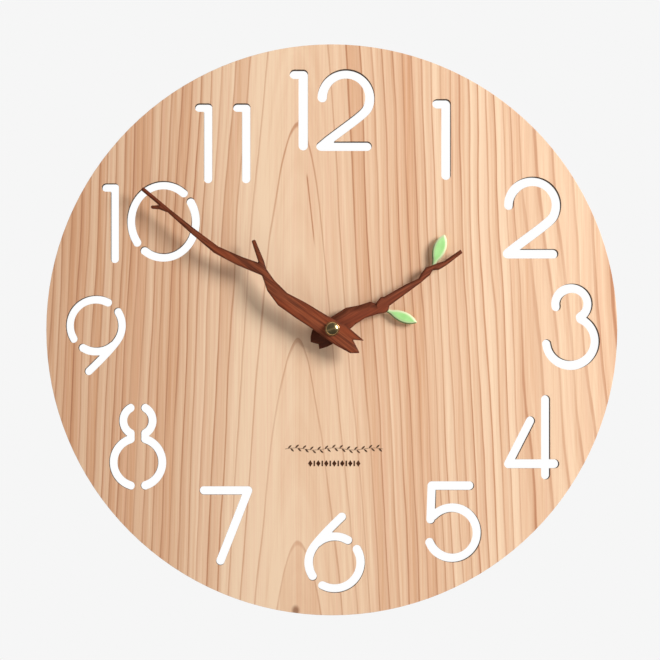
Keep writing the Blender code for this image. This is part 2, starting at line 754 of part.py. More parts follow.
def make_hanger_plate():
    """A bent steel strip: flat under the gasket, back over the case, and up to a keyhole for the nail."""
    low = HANGER_BACK - FLANGE_THICKNESS / 2
    bend = 1.2
    shelf = CASE_HALF + 1.3
    path = [
        (low, HANGER_BOTTOM),
        *arc((low + bend, shelf - bend), (bend, bend), 180, 90, 22.5),
        *arc((HANGER_PLANE - bend, shelf + bend), (bend, bend), 270, 360, 22.5),
        (HANGER_PLANE, HANGER_TOP),
    ]
    strip_outline = stroke(path, FLANGE_THICKNESS, round_ends=False)
    strip = extruded("hanger_plate", [strip_outline], HANGER_WIDTH, (0.0, 0.0, 0.0), FACING_SIDE)
    half = HANGER_WIDTH / 2 + 0.2
    rim = rounded_rectangle(-half, HANGER_BOTTOM - 0.2, half, HANGER_TOP + 0.2, 9.0)
    keyhole = stroke([(0.0, HANGER_HOLE), (0.0, HANGER_HOLE + 5.5)], 4.4)
    blank = plate("hanger_blank", [rim, circle(BUSHING_FLANGE + 0.1)], -20.0, 0.0)
    round_hole = cylinder("hanger_hole", HANGER_HOLE_RADIUS, -12.0, -2.0, (0.0, HANGER_HOLE), 24)
    slot = plate("hanger_slot", [keyhole], -12.5, -1.5)
    combine(strip, [blank], "INTERSECT")
    cut(strip, round_hole, slot)
    return finished(flattened(strip), "steel")


# --- movement: train ---------------------------------------------------------------------------------


def wheel(name, arbor, outline_teeth, module, phase, layer, axis, finish, hole=None):
    """A toothed wheel on an arbor, as one solid."""
    outlines = [gear_outline(outline_teeth, module, phase)]
    if hole:
        outlines.append(circle(hole, 24))
    rim = plate(name + "_rim", outlines, *layer, axis)
    return finished(flattened(join(arbor, rim)), finish)


def stepped(name, steps, axis, segments=12):
    """A solid arbor from (radius, front, back) steps that follow each other backwards."""
    profile = [(0.0, steps[0][1])]
    for radius, front, back in steps:
        profile += [(radius, front), (radius, back)]
    profile.append((0.0, steps[-1][2]))
    return turned(name, profile, axis, segments)


ARBOR = 0.5
ARBOR_ENDS = (-10.7, -0.6)


def make_motion_work():
    """The gears under the dial: cannon pinion to motion wheel to hour wheel, and the setting knob."""
    motion_phase = meshing_phase(MOTION_DIRECTION, 0.0, CANNON_TEETH, MOTION_TEETH)
    hub = ring("motion_wheel", 0.95, 1.6, -14.65, -12.25, MOTION_AXIS, 24)
    pinion_teeth = [gear_outline(HOUR_PINION_TEETH, HOUR_MODULE), circle(1.25, 24)]
    join(hub, plate("motion_pinion", pinion_teeth, -14.6, -13.0, MOTION_AXIS))
    wheel("motion_wheel", hub, MOTION_TEETH, MOTION_MODULE, motion_phase, (-13.3, -12.5), MOTION_AXIS,
          "white_plastic", 1.25)

    hour_phase = meshing_phase(MOTION_DIRECTION + 180, 0.0, HOUR_PINION_TEETH, HOUR_TEETH)
    tube = ring("hour_wheel", *HOUR_TUBE, HOUR_FRONT - 0.3, -13.65, HAND_AXIS, 32)
    wheel("hour_wheel", tube, HOUR_TEETH, HOUR_MODULE, hour_phase, (-14.6, -13.75), HAND_AXIS,
          "white_plastic", 2.2)

    knob_phase = meshing_phase(KNOB_DIRECTION, motion_phase, MOTION_TEETH, KNOB_TEETH)
    stem = stepped("setting_knob", [(1.5, -14.6, -4.0)], KNOB_AXIS, 16)
    grip = [offset((0.0, 0.0), 20 * index, 6.1 if index % 2 else 5.7) for index in range(18)]
    join(stem, plate("knob_head", [grip], -4.4, -0.7, KNOB_AXIS))
    wheel("setting_knob", stem, KNOB_TEETH, MOTION_MODULE, knob_phase, (-13.3, -12.5), KNOB_AXIS,
          "white_plastic")


def make_going_train():
    """From the rotor to the centre wheel: 5, 6, 8 and 7.5 to 1, which is 1800 to 1."""
    centre_steps = [(CLUTCH_BORE - 0.15, -18.5, -9.8), (1.4, -9.8, -8.45)]
    centre = stepped("centre_wheel", centre_steps, HAND_AXIS)
    cut(centre, cylinder("centre_socket", 0.42, -9.5, -8.0, HAND_AXIS, 16))
    wheel("centre_wheel", centre, CENTRE_TEETH, TRAIN_MODULE, 0.0, (-9.6, -8.8), HAND_AXIS, "brass", 1.0)

    third = stepped("third_wheel", [(ARBOR, *ARBOR_ENDS)], THIRD_AXIS)
    third_phase = meshing_phase(THIRD_DIRECTION, 0.0, CENTRE_TEETH, SLOW_PINION_TEETH)
    third_teeth = gear_outline(SLOW_PINION_TEETH, TRAIN_MODULE, third_phase)
    join(third, plate("third_pinion", [third_teeth], -9.85, -8.6, THIRD_AXIS))
    wheel("third_wheel", third, THIRD_TEETH, SECOND_MODULE, 0.0, (-7.9, -7.1), THIRD_AXIS, "white_plastic")

    second = stepped("second_wheel", [(0.3, -9.3, -8.3), (ARBOR, -8.3, ARBOR_ENDS[1])], HAND_AXIS)
    second_phase = meshing_phase(THIRD_DIRECTION + 180, 0.0, THIRD_TEETH, SLOW_PINION_TEETH)
    second_teeth = gear_outline(SLOW_PINION_TEETH, SECOND_MODULE, second_phase)
    join(second, plate("second_pinion", [second_teeth], -8.2, -6.9, HAND_AXIS))
    wheel("second_wheel", second, SECOND_TEETH, TRAIN_MODULE, 0.0, (-6.1, -5.3), HAND_AXIS, "white_plastic")

    intermediate = stepped("intermediate_wheel", [(ARBOR, *ARBOR_ENDS)], INTERMEDIATE_AXIS)
    pinion_phase = meshing_phase(INTERMEDIATE_DIRECTION, 0.0, SECOND_TEETH, FAST_PINION_TEETH)
    pinion_teeth = gear_outline(FAST_PINION_TEETH, TRAIN_MODULE, pinion_phase)
    join(intermediate, plate("intermediate_pinion", [pinion_teeth], -6.4, -5.0, INTERMEDIATE_AXIS))
    wheel("intermediate_wheel", intermediate, INTERMEDIATE_TEETH, TRAIN_MODULE, 0.0, (-4.4, -3.6),
          INTERMEDIATE_AXIS, "white_plastic")

    rotor = stepped("rotor_pinion", [(0.4, *ARBOR_ENDS)], ROTOR_AXIS)
    rotor_phase = meshing_phase(ROTOR_DIRECTION, 0.0, INTERMEDIATE_TEETH, FAST_PINION_TEETH)
    wheel("rotor_pinion", rotor, FAST_PINION_TEETH, TRAIN_MODULE, rotor_phase, (-4.7, -3.3), ROTOR_AXIS,
          "white_plastic")
    finished(ring("rotor_magnet", 0.45, 2.5, -9.0, -6.5, ROTOR_AXIS, 24), "magnet")


# --- movement: motor and electronics -----------------------------------------------------------------

STATOR = (-8.2, -7.4)
COIL_CENTRE = (-2.0, 23.2)
COIL_HALF = 10.6
CORE_DEPTH = (-7.35, -6.55)


def make_motor():
    """Stator, core, bobbin and winding round the rotor."""
    stator_outline = [
        (-16.0, 25.0), (-16.0, 15.0), (-12.0, 11.0), (-1.0, 11.0), (3.0, 13.0), (12.0, 17.5),
        (12.0, 25.0), (9.2, 25.0), (9.2, 19.2), (-13.2, 19.2), (-13.2, 25.0),
    ]
    rotor_hole = circle(2.9, 24, ROTOR_AXIS)
    finished(plate("stator_plate", [stator_outline, rotor_hole], *STATOR), "steel")

    x, z = COIL_CENTRE
    core_half = 1.3
    core_ends = (x - 14.0, x + 14.0)
    finished(box("coil_core", core_ends, CORE_DEPTH, (z - core_half, z + core_half)), "steel")

    y = sum(CORE_DEPTH) / 2
    tube = 1.9
    flange = 2.9
    cheek = 0.6
    left = x - COIL_HALF
    right = x + COIL_HALF
    profile = [
        (0.0, left), (flange, left), (flange, left + cheek), (tube, left + cheek),
        (tube, right - cheek), (flange, right - cheek), (flange, right), (0.0, right),
    ]
    bobbin = turned_along_x("coil_bobbin", profile, y, z, 24)
    play = 0.1
    core_hole = box(
        "core_hole",
        (left - 1, right + 1),
        (CORE_DEPTH[0] - play, CORE_DEPTH[1] + play),
        (z - core_half - play, z + core_half + play),
    )
    finished(flattened(cut(bobbin, core_hole)), "white_plastic")
    wound = (left + cheek + 0.1, right - cheek - 0.1)
    winding = [(tube + 0.08, wound[0]), (2.7, wound[0]), (2.7, wound[1]), (tube + 0.08, wound[1])]
    finished(turned_along_x("coil_winding", winding, y, z, 24), "copper")


BOARD_LEVEL = (-10.05, -9.25)


def make_electronics():
    """The circuit board on the train plate, with its sealed chip and its crystal."""
    finished(box("circuit_board", (11.0, 22.0), BOARD_LEVEL, (-9.8, 6.0)), "circuit")
    base = BOARD_LEVEL[1] + GAP
    dome = [(0.0, base), *arc((0.0, base), (2.6, 1.1), 0, 90, 22.5)]
    finished(turned("chip_dome", dome, (17.0, 1.0), 16), "rubber")
    can = [(0.0, 12.6), (1.0, 12.6), (1.0, 18.6), (0.0, 18.6)]
    finished(turned_along_x("crystal_can", can, base + 1.0, -5.6, 16), "steel")


def make_contacts():
    """Battery contacts at the two ends of the bay, and the strip that crosses to the circuit board."""
    x_end = INNER_HALF - 0.1
    thickness = 0.35
    positive = box("positive_contact", (-x_end, thickness - x_end), (-13.5, -1.6), (-26.0, -12.4))
    tail = box("positive_tail", (-x_end, thickness - x_end), (-3.2, -1.6), (-13.0, -9.2))
    finished(flattened(join(positive, tail)), "steel")

    strip_path = [(-26.2, -2.4), (13.0, -2.4), (13.0, BOARD_LEVEL[1] + GAP)]
    strip_outline = stroke(strip_path, 0.3, round_ends=False)
    finished(extruded("contact_strip", [strip_outline], 1.5, (0.0, 0.0, -9.95), FACING_TOP), "steel")

    negative = box("negative_contact", (x_end - thickness, x_end), (-13.5, -1.6), (-26.0, -12.4))
    negative_tail = box("negative_tail", (x_end - thickness, x_end), (-9.0, -7.0), (-13.0, -9.2))
    foot = box("negative_foot", (20.0, x_end), (-9.0, -8.7), (-10.8, -9.3))
    finished(flattened(join(negative, negative_tail, foot)), "steel")


def make_battery_spring():
    """A conical spring pressed between the negative contact and the cell."""
    wire = 0.35
    turns = 2.5
    steps_per_turn = 12
    wide = (4.6, INNER_HALF - 0.1 - 0.35 - GAP - wire)
    narrow = (2.0, CELL_POSITIVE + CELL_LENGTH + GAP + wire)
    steps = round(turns * steps_per_turn)
    curve = bpy.data.curves.new("battery_spring", "CURVE")
    curve.dimensions = "3D"
    curve.bevel_depth = wire * MM
    curve.bevel_resolution = 2
    curve.use_fill_caps = True
    spline = curve.splines.new("POLY")
    spline.points.add(steps)
    for index, point in enumerate(spline.points):
        share = index / steps
        angle = 2 * math.pi * turns * share
        radius = wide[0] + (narrow[0] - wide[0]) * share
        x = wide[1] + (narrow[1] - wide[1]) * share
        y = CELL_AXIS[0] + radius * math.cos(angle)
        z = CELL_AXIS[1] + radius * math.sin(angle)
        point.co = (x * MM, y * MM, z * MM, 1.0)
    spring = bpy.data.objects.new("battery_spring", curve)
    PARTS.objects.link(spring)
    return finished(as_mesh(spring), "steel")


def make_battery():
    """The AA cell, positive end to the left, and its printed wrap."""
    y, z = CELL_AXIS
    can = CELL_RADIUS - 0.45
    shoulder = CELL_POSITIVE + 1.0
    end = CELL_POSITIVE + CELL_LENGTH
    nub = 2.7
    profile = [
        (0.0, CELL_POSITIVE), (nub, CELL_POSITIVE), (nub, shoulder),
        (can, shoulder), (can, end), (0.0, end),
    ]
    finished(turned_along_x("battery_can", profile, y, z), "steel")
    wrap = (shoulder + 0.3, end - 0.2)
    sleeve = [(can + 0.05, wrap[0]), (CELL_RADIUS, wrap[0]), (CELL_RADIUS, wrap[1]), (can + 0.05, wrap[1])]
    finished(turned_along_x("battery_label", sleeve, y, z), "cell_wrap")


# --- assembly ----------------------------------------------------------------------------------------

MINUTE_PIECES = ("minute_hand", "minute_hand_collet", "cap_nut", "minute_arbor", "clutch_spring")
HOUR_PIECES = ("hour_hand", "hour_hand_collet", "leaf_upper", "leaf_lower", "hour_wheel")
MOVING = {
    "minute_axis": (HAND_AXIS, MINUTE_PIECES),
    "hour_axis": (HAND_AXIS, HOUR_PIECES),
    "motion_axis": (MOTION_AXIS, ("motion_wheel",)),
    "knob_axis": (KNOB_AXIS, ("setting_knob",)),
    "centre_axis": (HAND_AXIS, ("centre_wheel",)),
    "third_axis": (THIRD_AXIS, ("third_wheel",)),
    "second_axis": (HAND_AXIS, ("second_wheel",)),
    "intermediate_axis": (INTERMEDIATE_AXIS, ("intermediate_wheel",)),
    "rotor_axis": (ROTOR_AXIS, ("rotor_magnet", "rotor_pinion")),
    "battery_slide": ((0.0, CELL_AXIS[1]), ("battery_can", "battery_label")),
}


def hang_on_axes():
    """Parents each moving piece to an empty on its joint's axis."""
    for name, (axis, pieces) in MOVING.items():
        empty = bpy.data.objects.new(name, None)
        empty.location = (axis[0] * MM, 0.0, axis[1] * MM)
        PARTS.objects.link(empty)
        for piece in pieces:
            bpy.data.objects[piece].parent = empty
            bpy.data.objects[piece].matrix_parent_inverse = Matrix.Translation(empty.location).inverted()


minute_outline = hand_outline(MINUTE_LIMB, MINUTE_TAIL, [twig(*MINUTE_TWIG)], [twig(*MINUTE_TIP_TWIG)])
hour_outline = hand_outline(HOUR_LIMB, HOUR_TAIL)
make_hand("minute_hand", minute_outline, MINUTE_FRONT, MINUTE_BACK, MINUTE_ANGLE, MINUTE_SLEEVE)
make_hand("hour_hand", hour_outline, HOUR_FRONT, HOUR_BACK, HOUR_ANGLE, HOUR_SLEEVE)
minute_bore = MINUTE_ARBOR_RADIUS + BORE_PLAY
hour_bore = HOUR_TUBE[1] + BORE_PLAY
make_collet("minute_hand_collet", minute_bore, MINUTE_SLEEVE, 4.6, MINUTE_FRONT, MINUTE_BACK)
make_collet("hour_hand_collet", hour_bore, HOUR_SLEEVE, 5.0, HOUR_FRONT, HOUR_BACK)
for leaf_name, leaf in LEAVES.items():
    make_leaf(leaf_name, *leaf)
make_cap_nut()
make_minute_arbor()
make_clutch_spring()
make_front_housing()
make_rear_cover()
make_train_plate()
make_threaded_bushing()
make_fixings()
make_hanger_plate()
make_motion_work()
make_going_train()
make_motor()
make_electronics()
make_contacts()
make_battery_spring()
make_battery()
make_dial_board()
hang_on_axes()
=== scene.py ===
"""Round wooden wall clock: the looks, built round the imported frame.

The frame is in metres: +X to the viewer's right, +Z towards 12 o'clock, and the clock faces -Y.
Shapes are worked out in millimetres as (x, z) points, the way they look from the front.
"""

import json
import math
import random

import bmesh
import bpy
import numpy as np
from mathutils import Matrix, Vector, geometry


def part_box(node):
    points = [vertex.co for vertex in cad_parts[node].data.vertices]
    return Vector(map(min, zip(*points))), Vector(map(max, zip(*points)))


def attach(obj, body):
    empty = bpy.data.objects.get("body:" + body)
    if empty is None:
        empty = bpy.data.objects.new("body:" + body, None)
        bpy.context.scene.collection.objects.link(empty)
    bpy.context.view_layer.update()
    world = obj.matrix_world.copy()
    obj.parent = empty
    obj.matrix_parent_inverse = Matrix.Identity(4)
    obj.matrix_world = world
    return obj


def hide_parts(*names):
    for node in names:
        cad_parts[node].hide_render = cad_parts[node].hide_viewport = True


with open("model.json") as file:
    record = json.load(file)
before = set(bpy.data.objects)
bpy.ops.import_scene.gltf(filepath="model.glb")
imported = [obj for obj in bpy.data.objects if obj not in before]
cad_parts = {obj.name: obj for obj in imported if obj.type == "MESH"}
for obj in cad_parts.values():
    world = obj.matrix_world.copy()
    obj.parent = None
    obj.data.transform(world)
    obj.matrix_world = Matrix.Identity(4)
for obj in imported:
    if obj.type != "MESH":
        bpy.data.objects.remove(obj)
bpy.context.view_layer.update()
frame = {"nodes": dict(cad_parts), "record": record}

MM = 0.001
BODY_OF = {node: body for body, nodes in frame["record"]["behaviour"]["bodies"].items() for node in nodes}
SLOT_OF = {part["node"]: part["material_slot"] for part in frame["record"]["subparts"]}

# --- camera and light ------------------------------------------------------------------------------

DIAL_LOW, DIAL_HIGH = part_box("dial_board")
DIAL_FRONT = DIAL_LOW[1]
VIEW_DISTANCE = 1.06
VIEW_WIDTH = 0.3467  # what the picture takes in at the front of the dial
SENSOR = 36.0
EYE_X = -0.02  # the eye is a little left of the hub and below it, still looking straight at the dial
EYE_Z = -0.05
FRAME_MIDDLE = (-0.00095, -0.0001)  # what the middle of the picture looks at, as (x, z)
LIGHT_DIRECTION = Vector((1.29, -1.0, 0.52)).normalized()
LIGHT_DISTANCE = 1.15
LIGHT_SIZE = 0.5
LIGHT_POWER = 12.7
WARM_WHITE = (1.0, 0.985, 0.96)
AMBIENT = 0.472
BACKGROUND = 0.9216
GLOW_EDGE = (math.cos(math.radians(8.0)), math.cos(math.radians(7.3)))  # where the glow starts, and is full
STRIP_TILT = (-0.35, 0.0, 1.0)  # across the tilted strip of light that shiny pieces reflect
STRIP_OFFSET = 0.02
FLOOR_LEVEL = -0.62


def make_camera():
    data = bpy.data.cameras.new("camera")
    data.sensor_width = SENSOR
    data.lens = SENSOR * VIEW_DISTANCE / VIEW_WIDTH
    data.shift_x = (FRAME_MIDDLE[0] - EYE_X) / VIEW_WIDTH
    data.shift_y = (FRAME_MIDDLE[1] - EYE_Z) / VIEW_WIDTH
    camera = bpy.data.objects.new("camera", data)
    camera.location = (EYE_X, DIAL_FRONT - VIEW_DISTANCE, EYE_Z)
    camera.rotation_euler = (math.pi / 2, 0.0, 0.0)
    bpy.context.scene.collection.objects.link(camera)
    bpy.context.scene.camera = camera


def make_key_light():
    """One large soft box to the right, in front of the dial and a little above it."""
    data = bpy.data.lights.new("softbox", "AREA")
    data.shape = "DISK"
    data.size = LIGHT_SIZE
    data.energy = LIGHT_POWER
    data.color = WARM_WHITE
    light = bpy.data.objects.new("softbox", data)
    light.location = Vector((0.0, DIAL_FRONT, 0.0)) + LIGHT_DIRECTION * LIGHT_DISTANCE
    light.rotation_euler = LIGHT_DIRECTION.to_track_quat("Z", "Y").to_euler()
    bpy.context.scene.collection.objects.link(light)


def make_world():
    """A pale studio, dimmer below and in front of the dial, with a backdrop that glows behind the dial.

    Shiny pieces see a darker front instead, with one tilted strip of light in it.
    """
    world = bpy.data.worlds.new("studio")
    bpy.context.scene.world = world
    world.use_nodes = True
    tree = world.node_tree
    tree.nodes.clear()
    make = tree.nodes.new
    link = tree.links.new
    direction = make("ShaderNodeTexCoord").outputs["Generated"]
    split = make("ShaderNodeSeparateXYZ")
    link(direction, split.inputs[0])

    def level(value, low, high, to_low, to_high, interpolation="LINEAR"):
        node = make("ShaderNodeMapRange")
        node.interpolation_type = interpolation
        link(value, node.inputs["Value"])
        numbers = {"From Min": low, "From Max": high, "To Min": to_low, "To Max": to_high}
        for socket, number in numbers.items():
            node.inputs[socket].default_value = number
        return node.outputs["Result"]

    def math_node(operation, first, second):
        node = make("ShaderNodeMath")
        node.operation = operation
        for socket, value in zip(node.inputs, (first, second)):
            if isinstance(value, bpy.types.NodeSocket):
                link(value, socket)
            else:
                socket.default_value = value
        return node.outputs[0]

    def towards(vector):
        node = make("ShaderNodeVectorMath")
        node.operation = "DOT_PRODUCT"
        link(direction, node.inputs[0])
        node.inputs[1].default_value = Vector(vector).normalized()
        return node.outputs["Value"]

    def background(colour, strength):
        """A Background node, lit by a linked strength."""
        node = make("ShaderNodeBackground")
        node.inputs["Color"].default_value = (*colour, 1.0)
        link(strength, node.inputs["Strength"])
        return node.outputs[0]

    is_ray = make("ShaderNodeLightPath").outputs
    height = level(split.outputs["Z"], -1.0, 1.0, AMBIENT * 0.7, AMBIENT * 1.3)
    front = level(split.outputs["Y"], -0.98, -0.45, 0.22, 1.0, "SMOOTHSTEP")
    shiny = level(split.outputs["Y"], -0.5, 0.3, 0.2, 1.1, "SMOOTHSTEP")
    off_strip = math_node("ABSOLUTE", math_node("ADD", towards(STRIP_TILT), STRIP_OFFSET), 0.0)
    strip = level(off_strip, 0.05, 0.22, 0.6, 0.0, "SMOOTHSTEP")
    shiny = math_node("MAXIMUM", shiny, strip)
    glossy = is_ray["Is Glossy Ray"]
    shiny = math_node("MULTIPLY", shiny, glossy)
    front = math_node("MULTIPLY", front, math_node("SUBTRACT", 1.0, glossy))
    lighting = background(WARM_WHITE, math_node("MULTIPLY", height, math_node("ADD", front, shiny)))
    to_dial = towards((-EYE_X, VIEW_DISTANCE, -EYE_Z))
    glow = level(to_dial, GLOW_EDGE[0], GLOW_EDGE[1], BACKGROUND, 1.0)
    backdrop = background((1.0, 1.0, 1.0), glow)
    mix = make("ShaderNodeMixShader")
    link(is_ray["Is Camera Ray"], mix.inputs["Fac"])
    link(lighting, mix.inputs[1])
    link(backdrop, mix.inputs[2])
    link(mix.outputs[0], make("ShaderNodeOutputWorld").inputs["Surface"])


# --- materials -------------------------------------------------------------------------------------


def rgb(red, green, blue):
    """A colour as it looks on screen, 0 to 255, turned into the linear values that shaders use."""
    linear = [
        value / 255 / 12.92 if value <= 10 else ((value / 255 + 0.055) / 1.055) ** 2.4
        for value in (red, green, blue)
    ]
    return (*linear, 1.0)


class Surface:
    """A material's node tree. Each call adds one node and returns its output."""

    def __init__(self, name, roughness=0.5, metallic=0.0, **settings):
        self.material = bpy.data.materials.new(name)
        self.material.use_nodes = True
        self.tree = self.material.node_tree
        self.shader = self.tree.nodes["Principled BSDF"]
        self.shader.inputs["Roughness"].default_value = roughness
        self.shader.inputs["Metallic"].default_value = metallic
        for socket, value in settings.items():
            self.shader.inputs[socket.replace("_", " ")].default_value = value

    def feed(self, socket, value):
        if isinstance(value, bpy.types.NodeSocket):
            self.tree.links.new(value, socket)
        else:
            socket.default_value = value

    def add(self, kind, inputs, output=0, **settings):
        node = self.tree.nodes.new(kind)
        for key, value in settings.items():
            setattr(node, key, value)
        for socket, value in inputs.items():
            self.feed(node.inputs[socket], value)
        return node.outputs[output]

    def math(self, operation, first, second=0.0):
        return self.add("ShaderNodeMath", {0: first, 1: second}, operation=operation)

    def place(self, scale=(1.0, 1.0, 1.0), turn=0.0):
        """Positions in millimetres, scaled, after a turn about the axis of the hands."""
        metres = self.add("ShaderNodeTexCoord", {}, "Object")
        rotation = (0.0, math.radians(-turn), 0.0)
        turned = self.add("ShaderNodeMapping", {"Vector": metres, "Rotation": rotation})
        scaled = [value / MM for value in scale]
        return self.add("ShaderNodeMapping", {"Vector": turned, "Scale": scaled})

    def split(self, vector):
        node = self.tree.nodes.new("ShaderNodeSeparateXYZ")
        self.feed(node.inputs[0], vector)
        return node.outputs

    def join(self, x, y, z):
        return self.add("ShaderNodeCombineXYZ", {0: x, 1: y, 2: z})

    def noise(self, vector, detail=2.0, roughness=0.5):
        inputs = {"Vector": vector, "Scale": 1.0, "Detail": detail, "Roughness": roughness}
        return self.add("ShaderNodeTexNoise", inputs, "Fac")

    def random(self, value):
        return self.add("ShaderNodeTexWhiteNoise", {"W": value}, "Value", noise_dimensions="1D")

    def range(self, value, low, high, to_low=0.0, to_high=1.0, smooth=False):
        """The value, with low to high stretched to to_low to to_high, and held at its ends."""
        inputs = {"Value": value, "From Min": low, "From Max": high, "To Min": to_low, "To Max": to_high}
        interpolation = "SMOOTHSTEP" if smooth else "LINEAR"
        return self.add("ShaderNodeMapRange", inputs, "Result", interpolation_type=interpolation)

    def ramp(self, value, stops):
        """A curve through (place, level) stops, between 0 and 1."""
        node = self.tree.nodes.new("ShaderNodeValToRGB")
        elements = node.color_ramp.elements
        while len(elements) < len(stops):
            elements.new(1.0)
        for element, (place, level) in zip(elements, stops):
            element.position = place
            element.color = (level, level, level, 1.0)
        self.feed(node.inputs["Fac"], value)
        return node.outputs["Color"]

    def mix(self, factor, first, second):
        node = self.tree.nodes.new("ShaderNodeMix")
        node.data_type = "RGBA"
        colours = [socket for socket in node.inputs if socket.type == "RGBA"]
        self.feed(node.inputs["Factor"], factor)
        self.feed(colours[0], first)
        self.feed(colours[1], second)
        return next(socket for socket in node.outputs if socket.type == "RGBA")

    def bump(self, height, strength, distance):
        inputs = {"Height": height, "Strength": strength, "Distance": distance * MM}
        self.feed(self.shader.inputs["Normal"], self.add("ShaderNodeBump", inputs, "Normal"))

    def colour(self, value):
        self.feed(self.shader.inputs["Base Color"], value)

    def roughness(self, value):
        self.feed(self.shader.inputs["Roughness"], value)


# The board was sawn from one log: these are the log's rings where they meet it, in millimetres
PITH_X = -18.0
PITH_BEHIND = 43.0
RING_TAPER = 0.038  # the log is this much thinner per millimetre towards 12 o'clock
RING_WIDTH = 4.1
FIRST_RING = 42.9
WIDE_RINGS_FROM = 118.0  # the outermost years grew fast
FLATTEST = 0.12  # the least slope at which a ring meets the board
# One ring splits in two above the hub
FORK_X = -4.1
FORK_SLOPE = -0.111
FORK_FROM = (42.0, 52.0)
FORK_TO = (79.0, 83.0)
KNOT = (-19.0, -147.5)
KNOT_RADII = (2.6, 3.4)
# Broad bands of growth: darker at the left, palest left of the middle, darker again right of it
BANDS = [(-150, 0.35), (-80, 0.4), (-40, 0.9), (-10, 0.5), (20, 0.55), (40, 0.3), (65, 0.8), (150, 0.75)]
YEAR_TO_YEAR = 0.24  # how far one year's wood is paler or darker than its band


def year_line(s, share, steep, year):
    """The thin dark line that ends each year: sharp on the outside, with a softer shade on the inside."""
    to_end = s.math("DIVIDE", s.math("MULTIPLY", s.math("SUBTRACT", 1.0, share), RING_WIDTH), steep)
    from_start = s.math("DIVIDE", s.math("MULTIPLY", share, RING_WIDTH), steep)
    inner = s.range(to_end, 0.3, 0.95, 1.0, 0.0, smooth=True)
    outer = s.range(from_start, 0.05, 0.3, 1.0, 0.0)
    line = s.math("MAXIMUM", inner, outer)
    shade = s.math("MULTIPLY", s.range(share, 0.4, 1.0, 0.0, 0.45), s.range(steep, 0.3, 0.9))
    fade = s.range(s.noise(s.place((0.06, 0.06, 0.008)), detail=1.0), 0.35, 0.65, 0.6, 1.0)
    strength = s.math("MULTIPLY", s.range(s.random(year), 0, 1, 0.5, 1.0), fade)
    return s.math("MULTIPLY", s.math("MAXIMUM", line, shade), strength)


def forked_line(s, x, z, ripple):
    """The second branch of the ring that splits, faded out at both ends."""
    aside = s.math("ADD", s.math("SUBTRACT", x, FORK_X), s.math("MULTIPLY", z, -FORK_SLOPE))
    aside = s.math("ABSOLUTE", s.math("ADD", aside, s.range(ripple, 0.2, 0.8, -0.5, 0.5)))
    starts = s.range(z, *FORK_FROM, smooth=True)
    stops = s.range(z, FORK_TO[1], FORK_TO[0], smooth=True)
    line = s.range(aside, 0.15, 0.6, 0.9, 0.0, smooth=True)
    return s.math("MULTIPLY", line, s.math("MULTIPLY", starts, stops))


def band_level(s, x, lean, climb, shift):
    """How pale the broad band is that a point lies in: the bands follow the rings' own lean."""
    place = s.math("ADD", x, s.math("MULTIPLY", s.math("MULTIPLY", climb, lean), 1.1))
    place = s.math("ADD", place, shift)
    first = BANDS[0][0]
    last = BANDS[-1][0]
    stops = [((band - first) / (last - first), level) for band, level in BANDS]
    return s.ramp(s.range(place, first, last), stops)


def knot_distance(s, x, z):
    """How far a point lies from the knot's middle, where 1 is its rim."""
    square = 0.0
    for value, middle, radius in zip((x, z), KNOT, KNOT_RADII):
        across = s.math("DIVIDE", s.math("SUBTRACT", value, middle), radius)
        square = s.math("ADD", s.math("MULTIPLY", across, across), square)
    return s.math("SQRT", square)


